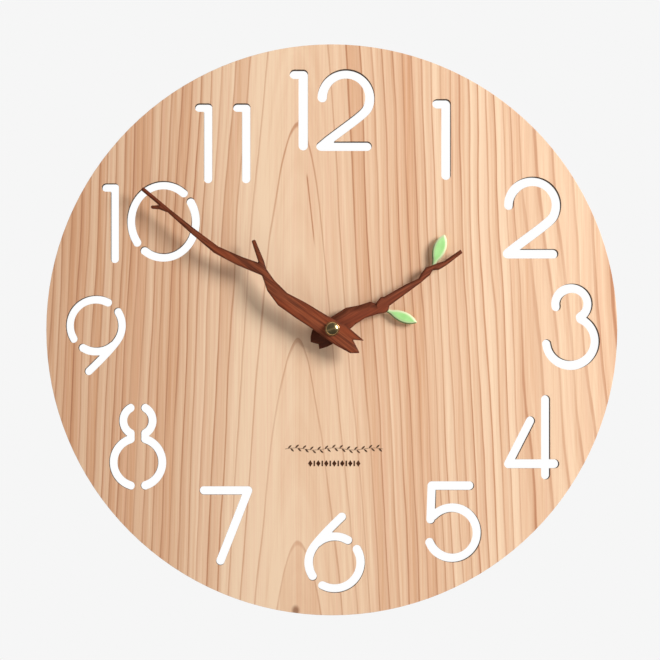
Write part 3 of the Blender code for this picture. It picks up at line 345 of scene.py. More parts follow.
def softwood():
    """Flat-sawn pale softwood: long V-shaped rings in the middle, straight lines at the sides."""
    s = Surface("softwood", roughness=0.5)
    wander = s.noise(s.place((0.02, 0.02, 0.006)), detail=1.0)
    ripple = s.noise(s.place((0.12, 0.12, 0.014)), detail=2.0)
    x, y, z = s.split(s.place())
    across = s.math("SUBTRACT", x, PITH_X)
    depth = s.math("SUBTRACT", PITH_BEHIND + DIAL_FRONT / MM, y)
    climb = s.math("MULTIPLY", z, RING_TAPER)
    square = s.math("ADD", s.math("MULTIPLY", across, across), s.math("MULTIPLY", depth, depth))
    reach = s.math("SQRT", square)
    lean = s.math("DIVIDE", across, reach)
    steep = s.math("MAXIMUM", s.math("ABSOLUTE", lean), FLATTEST)
    shift = s.math("ADD", s.range(wander, 0.2, 0.8, -2.2, 2.2), s.range(ripple, 0.2, 0.8, -0.7, 0.7))
    radius = s.math("ADD", s.math("ADD", reach, climb), s.math("MULTIPLY", shift, steep))
    outermost = s.math("MAXIMUM", s.math("SUBTRACT", across, WIDE_RINGS_FROM), 0.0)
    radius = s.math("SUBTRACT", radius, s.math("MULTIPLY", outermost, 0.5))
    rings = s.math("DIVIDE", s.math("SUBTRACT", radius, FIRST_RING), RING_WIDTH)
    year = s.math("FLOOR", rings)
    share = s.math("FRACT", rings)
    line = s.math("MAXIMUM", year_line(s, share, steep, year), forked_line(s, x, z, ripple))

    growth = s.noise(s.join(s.math("MULTIPLY", radius, 0.9), 0.0, s.math("MULTIPLY", z, 0.003)), detail=3.0)
    fibre = s.noise(s.place((1.3, 1.3, 0.012)), detail=3.0, roughness=0.6)
    streak = s.noise(s.place((0.45, 0.45, 0.004)), detail=4.0, roughness=0.6)
    blush = s.noise(s.place((0.9, 0.9, 0.008)), detail=2.0)
    own_year = s.random(s.math("ADD", year, 0.5))
    pale = s.math("ADD", band_level(s, x, lean, climb, shift), s.range(growth, 0.25, 0.75, -0.26, 0.26))
    pale = s.math("ADD", pale, s.range(fibre, 0.2, 0.8, -0.24, 0.24))
    pale = s.math("ADD", pale, s.range(streak, 0.2, 0.8, -0.22, 0.22))
    pale = s.math("ADD", pale, s.range(own_year, 0, 1, -YEAR_TO_YEAR, YEAR_TO_YEAR))

    earlywood = s.mix(s.range(pale, 0.0, 1.0), rgb(222, 168, 128), rgb(249, 217, 184))
    earlywood = s.mix(s.range(blush, 0.5, 0.75, 0.0, 0.3), earlywood, rgb(236, 176, 146))
    latewood = s.mix(s.range(pale, 0.0, 1.0), rgb(168, 98, 60), rgb(192, 122, 78))
    colour = s.mix(s.math("MULTIPLY", line, 0.85), earlywood, latewood)
    knot = s.range(knot_distance(s, x, z), 0.3, 1.1, 0.8, 0.0, smooth=True)
    s.colour(s.mix(knot, colour, rgb(140, 88, 56)))
    s.roughness(s.range(fibre, 0.2, 0.8, 0.44, 0.6))
    s.bump(fibre, 0.1, 0.04)
    return s.material


def scorched_edge():
    """The sawn walls of the cut-outs and the rim, coloured a dark grey-brown whether they are lit or not."""
    s = Surface("scorched_edge", roughness=0.8)
    wall_mottle = s.noise(s.place((0.7, 0.25, 0.7)), detail=3.0)
    s.colour(s.mix(s.range(wall_mottle, 0.3, 0.7), rgb(72, 54, 42), rgb(118, 88, 64)))
    s.bump(s.noise(s.place((2.5, 0.2, 2.5)), detail=1.0), 0.3, 0.05)
    return s.material


def rosewood(name, turn, dull):
    """Reddish-brown hardwood with its grain along the hand, and dark edges that are partly bark and partly
    painted shade.

    Turn is the hand's angle, and dull is how far the colour is greyed.
    """
    s = Surface(name, roughness=0.6, Specular_IOR_Level=0.12)
    figure = s.noise(s.place((0.8, 0.8, 0.03), turn), detail=4.0, roughness=0.65)
    glow = s.noise(s.place((0.12, 0.12, 0.03), turn), detail=2.0)
    pores = s.noise(s.place((2.6, 2.6, 0.09), turn), detail=2.0)
    rough = s.noise(s.place((1.1, 1.1, 0.25), turn), detail=2.0)
    bark_and_shade = s.add("ShaderNodeAttribute", {}, "Fac", attribute_name="bark_and_shade")
    warm = s.mix(s.range(figure, 0.36, 0.62), rgb(86, 40, 24), rgb(158, 84, 52))
    warm = s.mix(s.range(glow, 0.46, 0.7, 0.0, 0.7), warm, rgb(160, 72, 38))
    warm = s.mix(s.range(pores, 0.52, 0.7, 0.0, 0.6), warm, rgb(74, 32, 18))
    warm = s.mix(dull, warm, rgb(98, 58, 50))
    # Bark and painted shade: darkens the edges and the hour hand's tail, partly bark and partly the shade
    # and shadow that the light leaves there.
    darkened = s.math("MULTIPLY", bark_and_shade, s.range(rough, 0.25, 0.6, 0.55, 1.0))
    s.colour(s.mix(darkened, warm, rgb(76, 36, 20)))
    s.roughness(s.range(figure, 0.3, 0.7, 0.55, 0.68))
    s.bump(s.math("SUBTRACT", figure, s.range(pores, 0.6, 0.8)), 0.25, 0.06)
    return s.material


def leaf_green():
    """Painted pale green. Its cream bevel is a painted highlight, darkened with painted shade where it faces
    down or to the left.
    """
    s = Surface("leaf_green", roughness=0.45)
    mottle = s.noise(s.place((0.25, 0.25, 0.25)), detail=3.0)
    inside = s.add("ShaderNodeAttribute", {}, "Fac", attribute_name="inside")
    shaded = s.add("ShaderNodeAttribute", {}, "Fac", attribute_name="bark_and_shade")
    face = s.mix(s.range(mottle, 0.3, 0.7), rgb(166, 228, 140), rgb(184, 238, 158))
    # Painted highlight: the cream bevel near the rim.
    colour = s.mix(s.range(inside, 0.25, 0.9, smooth=True), rgb(226, 236, 190), face)
    # Painted shade on the sides that face down or to the left.
    s.colour(s.mix(shaded, colour, rgb(92, 128, 62)))
    s.bump(s.noise(s.place((1.5, 1.5, 1.5)), detail=2.0), 0.12, 0.05)
    return s.material


def metal(name, dark, bright, roughness, scale, bump=0.15):
    """Metal with fine scratches and clouding; scale sets their direction, in cycles per millimetre."""
    s = Surface(name, roughness=roughness, metallic=1.0)
    cloud = s.noise(s.place((0.2, 0.2, 0.2)), detail=3.0)
    scratches = s.noise(s.place(scale), detail=3.0, roughness=0.65)
    tone = s.math("ADD", s.math("MULTIPLY", cloud, 0.6), s.math("MULTIPLY", scratches, 0.4))
    s.colour(s.mix(s.range(tone, 0.3, 0.7), dark, bright))
    s.roughness(s.range(scratches, 0.2, 0.8, roughness * 0.75, roughness * 1.3))
    s.bump(scratches, bump, 0.02)
    return s.material


def plastic(name, dark, bright, roughness, grain=4.0, bump=0.2):
    """Moulded plastic with the fine spark-eroded texture of its mould."""
    s = Surface(name, roughness=roughness)
    texture = s.noise(s.place((grain, grain, grain)), detail=2.0)
    cloud = s.noise(s.place((0.06, 0.06, 0.06)), detail=2.0)
    s.colour(s.mix(s.range(cloud, 0.3, 0.7), dark, bright))
    s.roughness(s.range(texture, 0.2, 0.8, roughness * 0.85, roughness * 1.15))
    s.bump(texture, bump, 0.03)
    return s.material


# Where each band of the cell's film starts along x, and its colour
CELL_STRIPES = [(-27.0, "dark"), (-13.0, "stripe"), (-10.5, "dark"), (-9.3, "light")]


def cell_wrap():
    """Printed film in plain bands: a dark end, a thin stripe and a pale body."""
    s = Surface("cell_wrap", roughness=0.25, Coat_Weight=0.4)
    colours = {"dark": rgb(28, 62, 104), "stripe": rgb(214, 150, 58), "light": rgb(205, 211, 214)}
    x, _, _ = s.split(s.place())
    colour = colours[CELL_STRIPES[0][1]]
    for start, name in CELL_STRIPES[1:]:
        past = s.math("GREATER_THAN", x, start)
        colour = s.mix(past, colour, colours[name])
    scuffs = s.noise(s.place((0.5, 0.5, 0.5)), detail=4.0)
    s.colour(s.mix(s.range(scuffs, 0.6, 0.75, 0.0, 0.15), colour, rgb(120, 120, 120)))
    s.roughness(s.range(scuffs, 0.3, 0.7, 0.2, 0.34))
    return s.material


def circuit():
    """Green solder mask over copper tracks."""
    s = Surface("circuit", roughness=0.3)
    inputs = {"Vector": s.place((0.7, 0.7, 0.7)), "Scale": 1.0}
    tracks = s.add("ShaderNodeTexVoronoi", inputs, "Distance", distance="MANHATTAN")
    on_track = s.range(tracks, 0.42, 0.46)
    s.colour(s.mix(on_track, rgb(22, 82, 44), rgb(52, 124, 64)))
    s.bump(on_track, 0.3, 0.04)
    return s.material


def winding():
    """Enamelled copper wire, wound side by side along x, with painted shade in the grooves between the turns
    and a painted highlight along their crests.
    """
    pitch = 0.22
    s = Surface("winding", roughness=0.3, metallic=1.0)
    x, _, _ = s.split(s.place())
    wire = s.math("SINE", s.math("MULTIPLY", x, 2 * math.pi / pitch))
    # Painted shade between the turns and a painted highlight on their crests.
    s.colour(s.mix(s.range(wire, -1, 1), rgb(120, 52, 26), rgb(214, 124, 74)))
    s.bump(s.range(wire, -1, 1), 0.5, 0.05)
    return s.material


def ink(name, dark, worn):
    """Brown print, slightly uneven where the grain shows through."""
    s = Surface(name, roughness=0.8, Specular_IOR_Level=0.1)
    wear = s.noise(s.place((1.2, 1.2, 0.1)), detail=3.0)
    s.colour(s.mix(s.range(wear, 0.4, 0.85), dark, worn))
    return s.material


MATERIALS = {
    "softwood": softwood(),
    "scorched_edge": scorched_edge(),
    "leaf_green": leaf_green(),
    "brass": metal("brass", rgb(190, 160, 104), rgb(234, 210, 160), 0.2, (0.6, 6.0, 0.6), 0.04),
    "steel": metal("steel", rgb(150, 152, 154), rgb(196, 198, 200), 0.34, (5.0, 0.5, 0.3)),
    "cell_can": metal("cell_can", rgb(170, 172, 174), rgb(208, 210, 212), 0.22, (0.4, 5.0, 5.0)),
    "rubber": plastic("rubber", rgb(26, 26, 27), rgb(38, 38, 38), 0.75, 2.5),
    "black_plastic": plastic("black_plastic", rgb(24, 24, 26), rgb(36, 36, 38), 0.46, 4.0, 0.35),
    "white_plastic": plastic("white_plastic", rgb(226, 226, 220), rgb(240, 240, 236), 0.4, 2.0, 0.1),
    "circuit": circuit(),
    "copper": winding(),
    "magnet": metal("magnet", rgb(60, 60, 64), rgb(96, 96, 100), 0.4, (1.0, 1.0, 1.0)),
    "cell_wrap": cell_wrap(),
    "dark_ink": ink("dark_ink", rgb(66, 36, 22), rgb(98, 64, 44)),
    "light_ink": ink("light_ink", rgb(84, 60, 46), rgb(126, 96, 74)),
}


# --- outlines --------------------------------------------------------------------------------------


def loops_at(node, step):
    """The outlines of a flat CAD node, as closed lists of (x, z) points in mm.

    The step counts its levels of vertices from the front: 0 is the face, and 1 lies behind its chamfer.
    """
    work = bmesh.new()
    work.from_mesh(frame["nodes"][node].data)
    bmesh.ops.remove_doubles(work, verts=work.verts, dist=5e-6)
    depth = sorted({round(vertex.co.y, 5) for vertex in work.verts})[step]
    level = {vertex for vertex in work.verts if abs(vertex.co.y - depth) < 1e-5}
    following = {}
    for edge in work.edges:
        first, second = edge.verts
        on_rim = any(not level.issuperset(face.verts) for face in edge.link_faces)
        if first in level and second in level and on_rim:
            following.setdefault(first, []).append(second)
            following.setdefault(second, []).append(first)
    loops = []
    while following:
        start = next(iter(following))
        loop = [start]
        while True:
            ways = [vertex for vertex in following[loop[-1]] if vertex in following and vertex not in loop]
            if not ways:
                break
            loop.append(ways[0])
        for vertex in loop:
            following.pop(vertex, None)
        if len(loop) > 2:
            loops.append([(vertex.co.x / MM, vertex.co.z / MM) for vertex in loop])
    work.free()
    return loops


def area(loop):
    """The area inside a loop, positive where the loop runs anticlockwise."""
    x, z = np.array(loop).T
    return 0.5 * float(np.sum(x * np.roll(z, -1) - np.roll(x, -1) * z))


def rounded_loop(loop, corner=32.0, longest=6.0, steps=4):
    """The loop with more points where its short segments stand for a curve. Sharp corners stay.

    A side stays straight if it is over longest mm, or if both its ends turn by more than corner degrees.
    """
    points = np.array(loop)
    ahead = np.roll(points, -1, 0) - points
    length = np.linalg.norm(ahead, axis=1)
    unit = ahead / length[:, None]
    before = np.roll(unit, 1, 0)
    length_before = np.roll(length, 1)
    turn = np.degrees(np.arccos(np.clip(np.sum(unit * before, 1), -1, 1)))
    made = []
    for index, point in enumerate(points):
        made.append(tuple(point))
        last = (index + 1) % len(points)
        if length[index] > longest or (turn[index] > corner and turn[last] > corner):
            continue
        tangents = []
        for end in (index, last):
            if turn[end] > corner:
                tangents.append(unit[index])
            elif max(length[end], length_before[end]) > 2.5 * min(length[end], length_before[end]):
                tangents.append(unit[end] if length[end] > length_before[end] else before[end])
            else:
                mean = unit[end] + before[end]
                tangents.append(mean / np.linalg.norm(mean))
        start, end = point, points[last]
        for step in range(1, steps):
            t = step / steps
            made.append(tuple(
                (2 * t**3 - 3 * t**2 + 1) * start
                + (t**3 - 2 * t**2 + t) * length[index] * tangents[0]
                + (3 * t**2 - 2 * t**3) * end
                + (t**3 - t**2) * length[index] * tangents[1]
            ))
    return made


# --- pieces ----------------------------------------------------------------------------------------


def shown(obj, material, body, nodes=()):
    """Links a piece, gives it its material, and says what it rides on and what it stands for."""
    bpy.context.scene.collection.objects.link(obj)
    obj.data.materials.clear()
    obj.data.materials.append(material)
    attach(obj, body)
    if nodes:
        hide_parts(*nodes)


def smooth(obj, angle=35.0, weighted=True):
    """Shades a piece smooth up to an angle. Weighted keeps its large faces looking flat."""
    obj.data.shade_smooth()
    obj.data.set_sharp_from_angle(angle=math.radians(angle))
    if weighted:
        normals = obj.modifiers.new("Flat faces", "WEIGHTED_NORMAL")
        normals.keep_sharp = True


def from_curve(name, loops, front, back, edge):
    """A flat piece between two depths in mm, cut along the loops, its edges rounded over by edge."""
    curve = bpy.data.curves.new(name, "CURVE")
    curve.dimensions = "2D"
    curve.fill_mode = "BOTH"
    curve.extrude = ((back - front) / 2 - edge) * MM
    curve.bevel_depth = edge * MM
    curve.bevel_resolution = 1
    curve.offset = -edge * MM
    for loop in loops:
        spline = curve.splines.new("POLY")
        spline.points.add(len(loop) - 1)
        for point, (x, z) in zip(spline.points, loop):
            point.co = (x * MM, z * MM, 0.0, 1.0)
        spline.use_cyclic_u = True
    drawn = bpy.data.objects.new(name, curve)
    drawn.rotation_euler = (math.pi / 2, 0.0, 0.0)
    drawn.location = (0.0, (front + back) / 2 * MM, 0.0)
    bpy.context.scene.collection.objects.link(drawn)
    bpy.context.view_layer.update()
    mesh = bpy.data.meshes.new_from_object(drawn.evaluated_get(bpy.context.evaluated_depsgraph_get()))
    mesh.transform(drawn.matrix_world)
    bpy.data.objects.remove(drawn, do_unlink=True)
    work = bmesh.new()
    work.from_mesh(mesh)
    bmesh.ops.remove_doubles(work, verts=work.verts, dist=2e-6)
    bmesh.ops.recalc_face_normals(work, faces=work.faces)
    work.to_mesh(mesh)
    work.free()
    mesh.name = name
    return bpy.data.objects.new(name, mesh)


def make_dial():
    """The board with its numerals cut through, their arcs drawn finely and every edge eased."""
    loops = [rounded_loop(loop) for loop in loops_at("dial_board", 0)]
    front = DIAL_LOW[1] / MM
    back = DIAL_HIGH[1] / MM
    dial = from_curve("dial_face", loops, front, back, 0.2)
    smooth(dial)
    shown(dial, MATERIALS["softwood"], "movement", ["dial_board"])
    # Every wall of the cut-outs and the rim gets the same dark grey-brown wall colour.
    dial.data.materials.append(MATERIALS["scorched_edge"])
    for face in dial.data.polygons:
        if abs(face.normal.y) < 0.1:
            face.material_index = 1


def boundary_distance(points, loops):
    """The distance from each point to the nearest side of the loops, and which side that is."""
    starts = np.concatenate([np.array(loop) for loop in loops])
    ends = np.concatenate([np.roll(np.array(loop), -1, 0) for loop in loops])
    along = ends - starts
    offset = points[:, None, :] - starts[None]
    t = np.clip(np.sum(offset * along, 2) / np.maximum(np.sum(along**2, 1), 1e-12), 0, 1)
    gap = np.linalg.norm(offset - t[..., None] * along, axis=2)
    nearest = np.argmin(gap, 1)
    return gap[np.arange(len(points)), nearest], nearest


def inside_loop(points, loop):
    """Which points lie inside a loop, by counting the sides that a line to the right crosses."""
    x, z = points.T
    odd = np.zeros(len(points), bool)
    for (x0, z0), (x1, z1) in zip(loop, loop[1:] + loop[:1]):
        crosses = (z0 > z) != (z1 > z)
        meets = x0 + (z - z0) * (x1 - x0) / (z1 - z0 if z1 != z0 else 1e-12)
        odd ^= crosses & (x < meets)
    return odd


def subdivided(loop, longest):
    """The loop with no side over longest, and for each new side the number of the one that it came from."""
    points = []
    owner = []
    for index, (start, end) in enumerate(zip(loop, loop[1:] + loop[:1])):
        count = max(1, math.ceil(math.dist(start, end) / longest))
        for step in range(count):
            t = step / count
            points.append((start[0] + (end[0] - start[0]) * t, start[1] + (end[1] - start[1]) * t))
            owner.append(index)
    return points, owner


def carved(name, rim, holes, front, back, lowered, spacing, inside_width, darkened=None):
    """A flat piece whose front is carved: lowered(distance, side) says by how many mm at each point.

    Distance is how far a point lies from the rim, and side is the rim's side that it is nearest to.
    With darkened(distance, side), each point also gets its share of darkening, from bark and from painted
    shade.
    """
    edge, owner = subdivided(rim, spacing)
    hole_edges = [subdivided(hole, spacing)[0] for hole in holes]
    low = np.min(rim, 0)
    high = np.max(rim, 0)
    rows = np.arange(low[1], high[1], spacing * 0.866)
    grid = np.array([
        (x + (spacing / 2 if row % 2 else 0.0), z)
        for row, z in enumerate(rows)
        for x in np.arange(low[0], high[0], spacing)
    ])
    grid = grid[inside_loop(grid, rim)]
    gap, _ = boundary_distance(grid, [edge, *hole_edges])
    grid = grid[gap > spacing * 0.45]
    for hole in holes:
        grid = grid[~inside_loop(grid, hole)]
    points = [Vector(p) for p in edge]
    sides = [(i, (i + 1) % len(edge)) for i in range(len(edge))]
    for hole in hole_edges:
        start = len(points)
        points += [Vector(p) for p in hole]
        sides += [(start + i, start + (i + 1) % len(hole)) for i in range(len(hole))]
    points += [Vector(p) for p in grid]
    flat, _, triangles, *_ = geometry.delaunay_2d_cdt(points, sides, [], 1, 1e-6)
    flat = np.array([tuple(p) for p in flat])
    triangles = [list(triangle) for triangle in triangles]
    middles = np.array([flat[triangle].mean(0) for triangle in triangles])
    kept = inside_loop(middles, rim)
    for hole in holes:
        kept &= ~inside_loop(middles, hole)
    triangles = [triangle for triangle, keep in zip(triangles, kept) if keep]

    distance, nearest = boundary_distance(flat, [edge])
    side = np.array(owner)[nearest]
    down = lowered(distance, side)
    edge_darkening = darkened(distance, side) if darkened else np.zeros(len(flat))
    work = bmesh.new()
    # Each vertex's darkness, from bark and from painted shade.
    inside = work.verts.layers.float.new("inside")
    bark_and_shade = work.verts.layers.float.new("bark_and_shade")
    tops = []
    bottoms = []
    for (x, z), drop, gap, share in zip(flat, down, distance, edge_darkening):
        top = work.verts.new((x * MM, (front + drop) * MM, z * MM))
        bottom = work.verts.new((x * MM, back * MM, z * MM))
        top[inside] = min(1.0, gap / inside_width)
        top[bark_and_shade] = share
        bottom[bark_and_shade] = share
        tops.append(top)
        bottoms.append(bottom)
    for triangle in triangles:
        work.faces.new([tops[index] for index in triangle])
        work.faces.new([bottoms[index] for index in reversed(triangle)])
    borders = [edge for edge in work.edges if len(edge.link_faces) == 1]
    index_of = {vertex: index for index, vertex in enumerate(tops)}
    for border in borders:
        first, second = border.verts
        if first in index_of:
            a, b = index_of[first], index_of[second]
            work.faces.new((tops[a], tops[b], bottoms[b], bottoms[a]))
    for vertex in [vertex for vertex in work.verts if not vertex.link_faces]:
        work.verts.remove(vertex)
    bmesh.ops.recalc_face_normals(work, faces=work.faces)
    mesh = bpy.data.meshes.new(name)
    work.to_mesh(mesh)
    work.free()
    return bpy.data.objects.new(name, mesh)


MINUTE_TURN = 306.7  # degrees clockwise from 12, as the hands stand
HOUR_TURN = 59.3
# Bark and painted shade on a hand: from and to along it in mm, its edge (1 upper, -1 lower, 0 both), width
# and darkness. The dark edges are partly bark and partly painted shade, and the hour hand's dark tail is
# painted shadow.
MINUTE_BARK_AND_SHADE = [(-30, 130, 1, 0.8, 0.9), (-30, 130, -1, 0.5, 0.6), (103, 130, 0, 0.8, 0.7)]
HOUR_BARK_AND_SHADE = [
    (-20, -1, 0, 4.5, 0.9), (-1, 28, -1, 0.5, 0.6), (3, 27, 1, 2.6, 0.8), (27, 90, 1, 0.9, 0.8),
    (27, 90, -1, 0.6, 0.8),
]
# Painted shade: a thin dark line along every edge that has no bark.
PAINTED_EDGE_SHADE = (0.3, 0.4)  # the width and darkness of the thin line where an edge has no bark


def bark_and_shade_on(rim, turn, strips):
    """The width and darkness of the bark and painted shade on each side of the rim."""
    angle = math.radians(turn)
    handed = math.copysign(1.0, area(rim))
    edge_darkening = []
    for start, end in zip(rim, rim[1:] + rim[:1]):
        x, z = (start[0] + end[0]) / 2, (start[1] + end[1]) / 2
        along = x * math.sin(angle) + z * math.cos(angle)
        upper = 1 if -handed * (end[0] - start[0]) > 0 else -1
        found = [
            (width, dark)
            for low, high, edge, width, dark in strips
            if low < along < high and edge in (0, upper)
        ]
        edge_darkening.append(found[-1] if found else PAINTED_EDGE_SHADE)
    return np.array(edge_darkening).T


def make_hand(node, body, turn, seed, strips, dull):
    """A hand carved with a knife: each straight cut of its outline has a facet of its own width."""
    low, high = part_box(node)
    front = low[1] / MM
    back = high[1] / MM
    loops = loops_at(node, 1)
    loops.sort(key=lambda loop: -abs(area(loop)))
    rim = loops[0]
    hole = rounded_loop(loops[1], 40.0)
    draw = random.Random(seed)
    widths = np.array([draw.uniform(0.35, 1.1) for _ in rim])
    slopes = np.array([draw.uniform(0.25, 0.5) for _ in rim])
    bark_and_shade_width, bark_and_shade_dark = bark_and_shade_on(rim, turn, strips)
    wide = bark_and_shade_width > 2.0
    widths[wide] = bark_and_shade_width[wide]
    slopes[wide] = 0.3

    def lowered(distance, side):
        facet = np.clip(widths[side] - distance, 0, None) * slopes[side]
        roll = 0.12 * np.exp(-distance / 0.4)
        return np.minimum(facet + roll, 1.1)

    # Bark and painted shade along the rim, blurred inwards.
    def darkened(distance, side):
        blur = 0.4 + 0.4 * bark_and_shade_width[side]
        return np.clip((bark_and_shade_width[side] - distance) / blur + 0.5, 0, 1) * bark_and_shade_dark[side]

    hand = carved(node + "_carved", rim, [hole], front, back, lowered, 0.5, 1.5, darkened)
    smooth(hand, 18.0, weighted=False)
    shown(hand, rosewood(node + "_rosewood", turn, dull), body, [node])


def make_leaf(node):
    """A leaf with a flat face and a bevel all round, shaded on the sides that face away from the light."""
    low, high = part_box(node)
    front = low[1] / MM
    back = high[1] / MM
    rim = rounded_loop(loops_at(node, 1)[0], 50.0)
    handed = math.copysign(1.0, area(rim))
    ahead = np.roll(np.array(rim), -1, 0) - np.array(rim)
    outward = handed * np.stack((ahead[:, 1], -ahead[:, 0]), 1) / np.linalg.norm(ahead, axis=1)[:, None]
    shade = np.clip(0.3 - 1.2 * (0.6 * outward[:, 0] + 0.8 * outward[:, 1]), 0, 1)

    def lowered(distance, _side):
        return 0.4 * np.clip(1 - distance / 1.3, 0, 1) + 0.25 * np.clip(1 - distance / 0.45, 0, 1)

    def darkened(distance, side):
        return np.clip((0.75 - distance) / 0.4, 0, 1) * shade[side]

    leaf = carved(node + "_bevelled", rim, [], front, back, lowered, 0.35, 1.6, darkened)
    smooth(leaf, 30.0, weighted=False)
    shown(leaf, MATERIALS["leaf_green"], "hour_works", [node])


LATHE_STEPS = 96


def lathe(name, profile):
    """A piece turned about the axis of the hands, from (radius, y) points in mm that start and end on it."""
    mesh = bpy.data.meshes.new(name)
    points = [(radius * MM, y * MM, 0.0) for radius, y in profile]
    mesh.from_pydata(points, [(i, i + 1) for i in range(len(points) - 1)], [])
    work = bmesh.new()
    work.from_mesh(mesh)
    drawn = work.verts[:] + work.edges[:]
    bmesh.ops.spin(work, geom=drawn, cent=(0, 0, 0), axis=(0, 1, 0), angle=2 * math.pi, steps=LATHE_STEPS)
    bmesh.ops.remove_doubles(work, verts=work.verts, dist=1e-7)
    bmesh.ops.recalc_face_normals(work, faces=work.faces)
    work.to_mesh(mesh)
    work.free()
    return bpy.data.objects.new(name, mesh)


def arc(centre, radii, start, end, count):
    angles = [math.radians(start + (end - start) * i / count) for i in range(count + 1)]
    return [(centre[0] + radii[0] * math.cos(a), centre[1] + radii[1] * math.sin(a)) for a in angles]


def make_cap_nut():
    """A spun dome on a thin flange, its edges rolled, open at the back where the thread starts."""
    low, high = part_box("cap_nut")
    tip = low[1] / MM
    back = high[1] / MM
    rim = high[0] / MM
    flange = 0.62
    roll = 0.16
    dome = 3.42
    crown = 1.6
    bore = 1.55
    blind = tip + 1.0
    shoulder = back - flange
    profile = [
        *arc((0.0, tip + crown), (dome, crown), -90, 0, 20),
        (dome, shoulder - 0.2),
        (dome + 0.1, shoulder),
        *arc((rim - roll, shoulder + roll), (roll, roll), -90, 0, 4),
        *arc((rim - roll, back - roll), (roll, roll), 0, 90, 4),
        (bore, back),
        (bore, blind),
        (0.0, blind),
    ]
    nut = lathe("cap_nut_dome", profile)
    smooth(nut, 40.0)
    shown(nut, MATERIALS["brass"], "minute_works", ["cap_nut"])


def refined(node, material, width):
    """A CAD node's own shape with its edges eased."""
    source = frame["nodes"][node]
    mesh = source.data.copy()
    work = bmesh.new()
    work.from_mesh(mesh)
    bmesh.ops.remove_doubles(work, verts=work.verts, dist=2e-6)
    bmesh.ops.dissolve_limit(work, angle_limit=math.radians(0.6), verts=work.verts, edges=work.edges)
    work.to_mesh(mesh)
    work.free()
    piece = bpy.data.objects.new(node + "_eased", mesh)
    bevel = piece.modifiers.new("Eased edges", "BEVEL")
    bevel.width = width * MM
    bevel.segments = 2
    bevel.limit_method = "ANGLE"
    bevel.angle_limit = math.radians(35.0)
    smooth(piece, 40.0)
    shown(piece, material, BODY_OF[node], [node])


# The nodes that show, and how far their edges are eased, in mm
EASED = {
    "front_housing": 0.35, "rear_cover": 0.25, "hanger_plate": 0.12, "setting_knob": 0.15,
    "mounting_nut": 0.15, "threaded_bushing": 0.12, "rubber_gasket": 0.2, "dial_washer": 0.1,
    "battery_can": 0.3, "battery_label": 0.02, "positive_contact": 0.06, "negative_contact": 0.06,
    "minute_hand_collet": 0.08, "hour_hand_collet": 0.08,
}


def dress_cad_nodes():
    """Eases the edges of the pieces that show, and gives every other CAD node its material."""
    for node, slot in SLOT_OF.items():
        if node in EASED:
            refined(node, MATERIALS[slot], EASED[node])
        elif slot in MATERIALS:
            for material_slot in frame["nodes"][node].material_slots:
                material_slot.material = MATERIALS[slot]


PRINT_DEPTH = 0.05  # how far the print stands out of the dial, and reaches into it
SPRIG = (-24.6, 26.9, -62.6)  # left end, right end and height of the stem
SPRIG_LEAVES = 13
LOZENGES = (1.3, -70.2)  # the middle of the row
LOZENGE_PITCH = 2.1


def lens(x, z, length, width, angle):
    """A pointed leaf with its foot at (x, z)."""
    turn = math.radians(angle)
    outline = []
    for sign in (1, -1):
        for step in range(6):
            t = step / 6 if sign > 0 else 1 - step / 6
            outline.append((t * length, sign * width / 2 * math.sin(math.pi * t) ** 0.8))
    return [
        (x + u * math.cos(turn) - v * math.sin(turn), z + u * math.sin(turn) + v * math.cos(turn))
        for u, v in outline
    ]


def stem_height(x):
    left, right, height = SPRIG
    return height + 0.55 * math.sin(2 * math.pi * 2.5 * (x - left) / (right - left))


def printed(name, shapes, material):
    """Flat shapes printed on the dial, as one piece."""
    front = DIAL_FRONT / MM
    work = bmesh.new()
    for shape in shapes:
        piece = from_curve("print", [shape], front - PRINT_DEPTH, front + PRINT_DEPTH, 0.0)
        work.from_mesh(piece.data)
        bpy.data.objects.remove(piece, do_unlink=True)
    mesh = bpy.data.meshes.new(name)
    work.to_mesh(mesh)
    work.free()
    shown(bpy.data.objects.new(name, mesh), material, "movement")


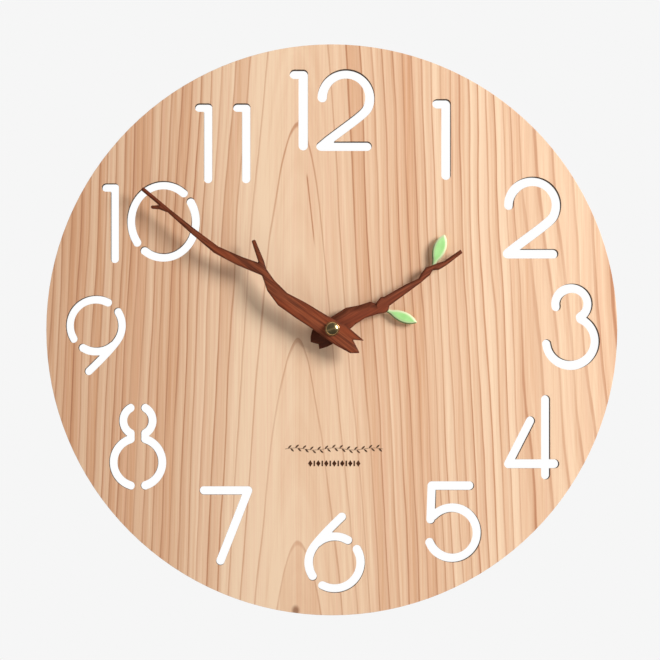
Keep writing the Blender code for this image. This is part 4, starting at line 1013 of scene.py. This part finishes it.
def make_sprig():
    """A thin printed stem with small leaves along it."""
    left, right, _ = SPRIG
    count = 90
    across = [left + (right - left) * i / count for i in range(count + 1)]
    line = [(x, stem_height(x)) for x in across]
    shapes = [[(x, z + 0.1) for x, z in line] + [(x, z - 0.1) for x, z in reversed(line)]]
    for index in range(SPRIG_LEAVES):
        x = left + 1.6 + (right - left - 5.2) * index / (SPRIG_LEAVES - 1)
        for side in (1, -1):
            foot = x + (0.0 if side > 0 else 1.3)
            shapes.append(lens(foot, stem_height(foot) + 0.1 * side, 2.5, 0.9, side * 42))
    printed("printed_sprig", shapes, MATERIALS["light_ink"])


def make_lozenges():
    """A dense row of printed lozenges and upright bars."""
    middle, height = LOZENGES
    shapes = []
    for index in range(-6, 7):
        x = middle + index * LOZENGE_PITCH
        if index % 2 == 0:
            wide = 1.15
            high = 1.75
            corners = [(-wide, 0.0), (0.0, high), (wide, 0.0), (0.0, -high)]
        else:
            wide = 0.4
            high = 1.45
            corners = [(-wide, -high), (-wide, high), (wide, high), (wide, -high)]
        shapes.append([(x + across, height + up) for across, up in corners])
    printed("printed_lozenges", shapes, MATERIALS["dark_ink"])


def make_floor():
    """A pale round floor well below the clock, which shiny pieces do not mirror."""
    mesh = bpy.data.meshes.new("floor")
    work = bmesh.new()
    bmesh.ops.create_circle(work, cap_ends=True, radius=2.2, segments=96)
    work.to_mesh(mesh)
    work.free()
    floor = bpy.data.objects.new("floor", mesh)
    floor.location = (0.0, -0.6, FLOOR_LEVEL)
    s = Surface("floor", roughness=0.9)
    grain = s.noise(s.place((0.002, 0.002, 0.002)), detail=2.0)
    s.colour(s.mix(s.range(grain, 0.3, 0.7), rgb(236, 236, 236), rgb(242, 242, 242)))
    floor.data.materials.append(s.material)
    bpy.context.scene.collection.objects.link(floor)
    floor.visible_glossy = False


make_camera()
make_key_light()
make_world()
bpy.context.scene.view_settings.view_transform = "Standard"

make_dial()
make_hand("minute_hand", "minute_works", MINUTE_TURN, 3, MINUTE_BARK_AND_SHADE, 0.12)
make_hand("hour_hand", "hour_works", HOUR_TURN, 8, HOUR_BARK_AND_SHADE, 0.3)
make_leaf("leaf_upper")
make_leaf("leaf_lower")
make_cap_nut()
make_sprig()
make_lozenges()
dress_cad_nodes()
make_floor()
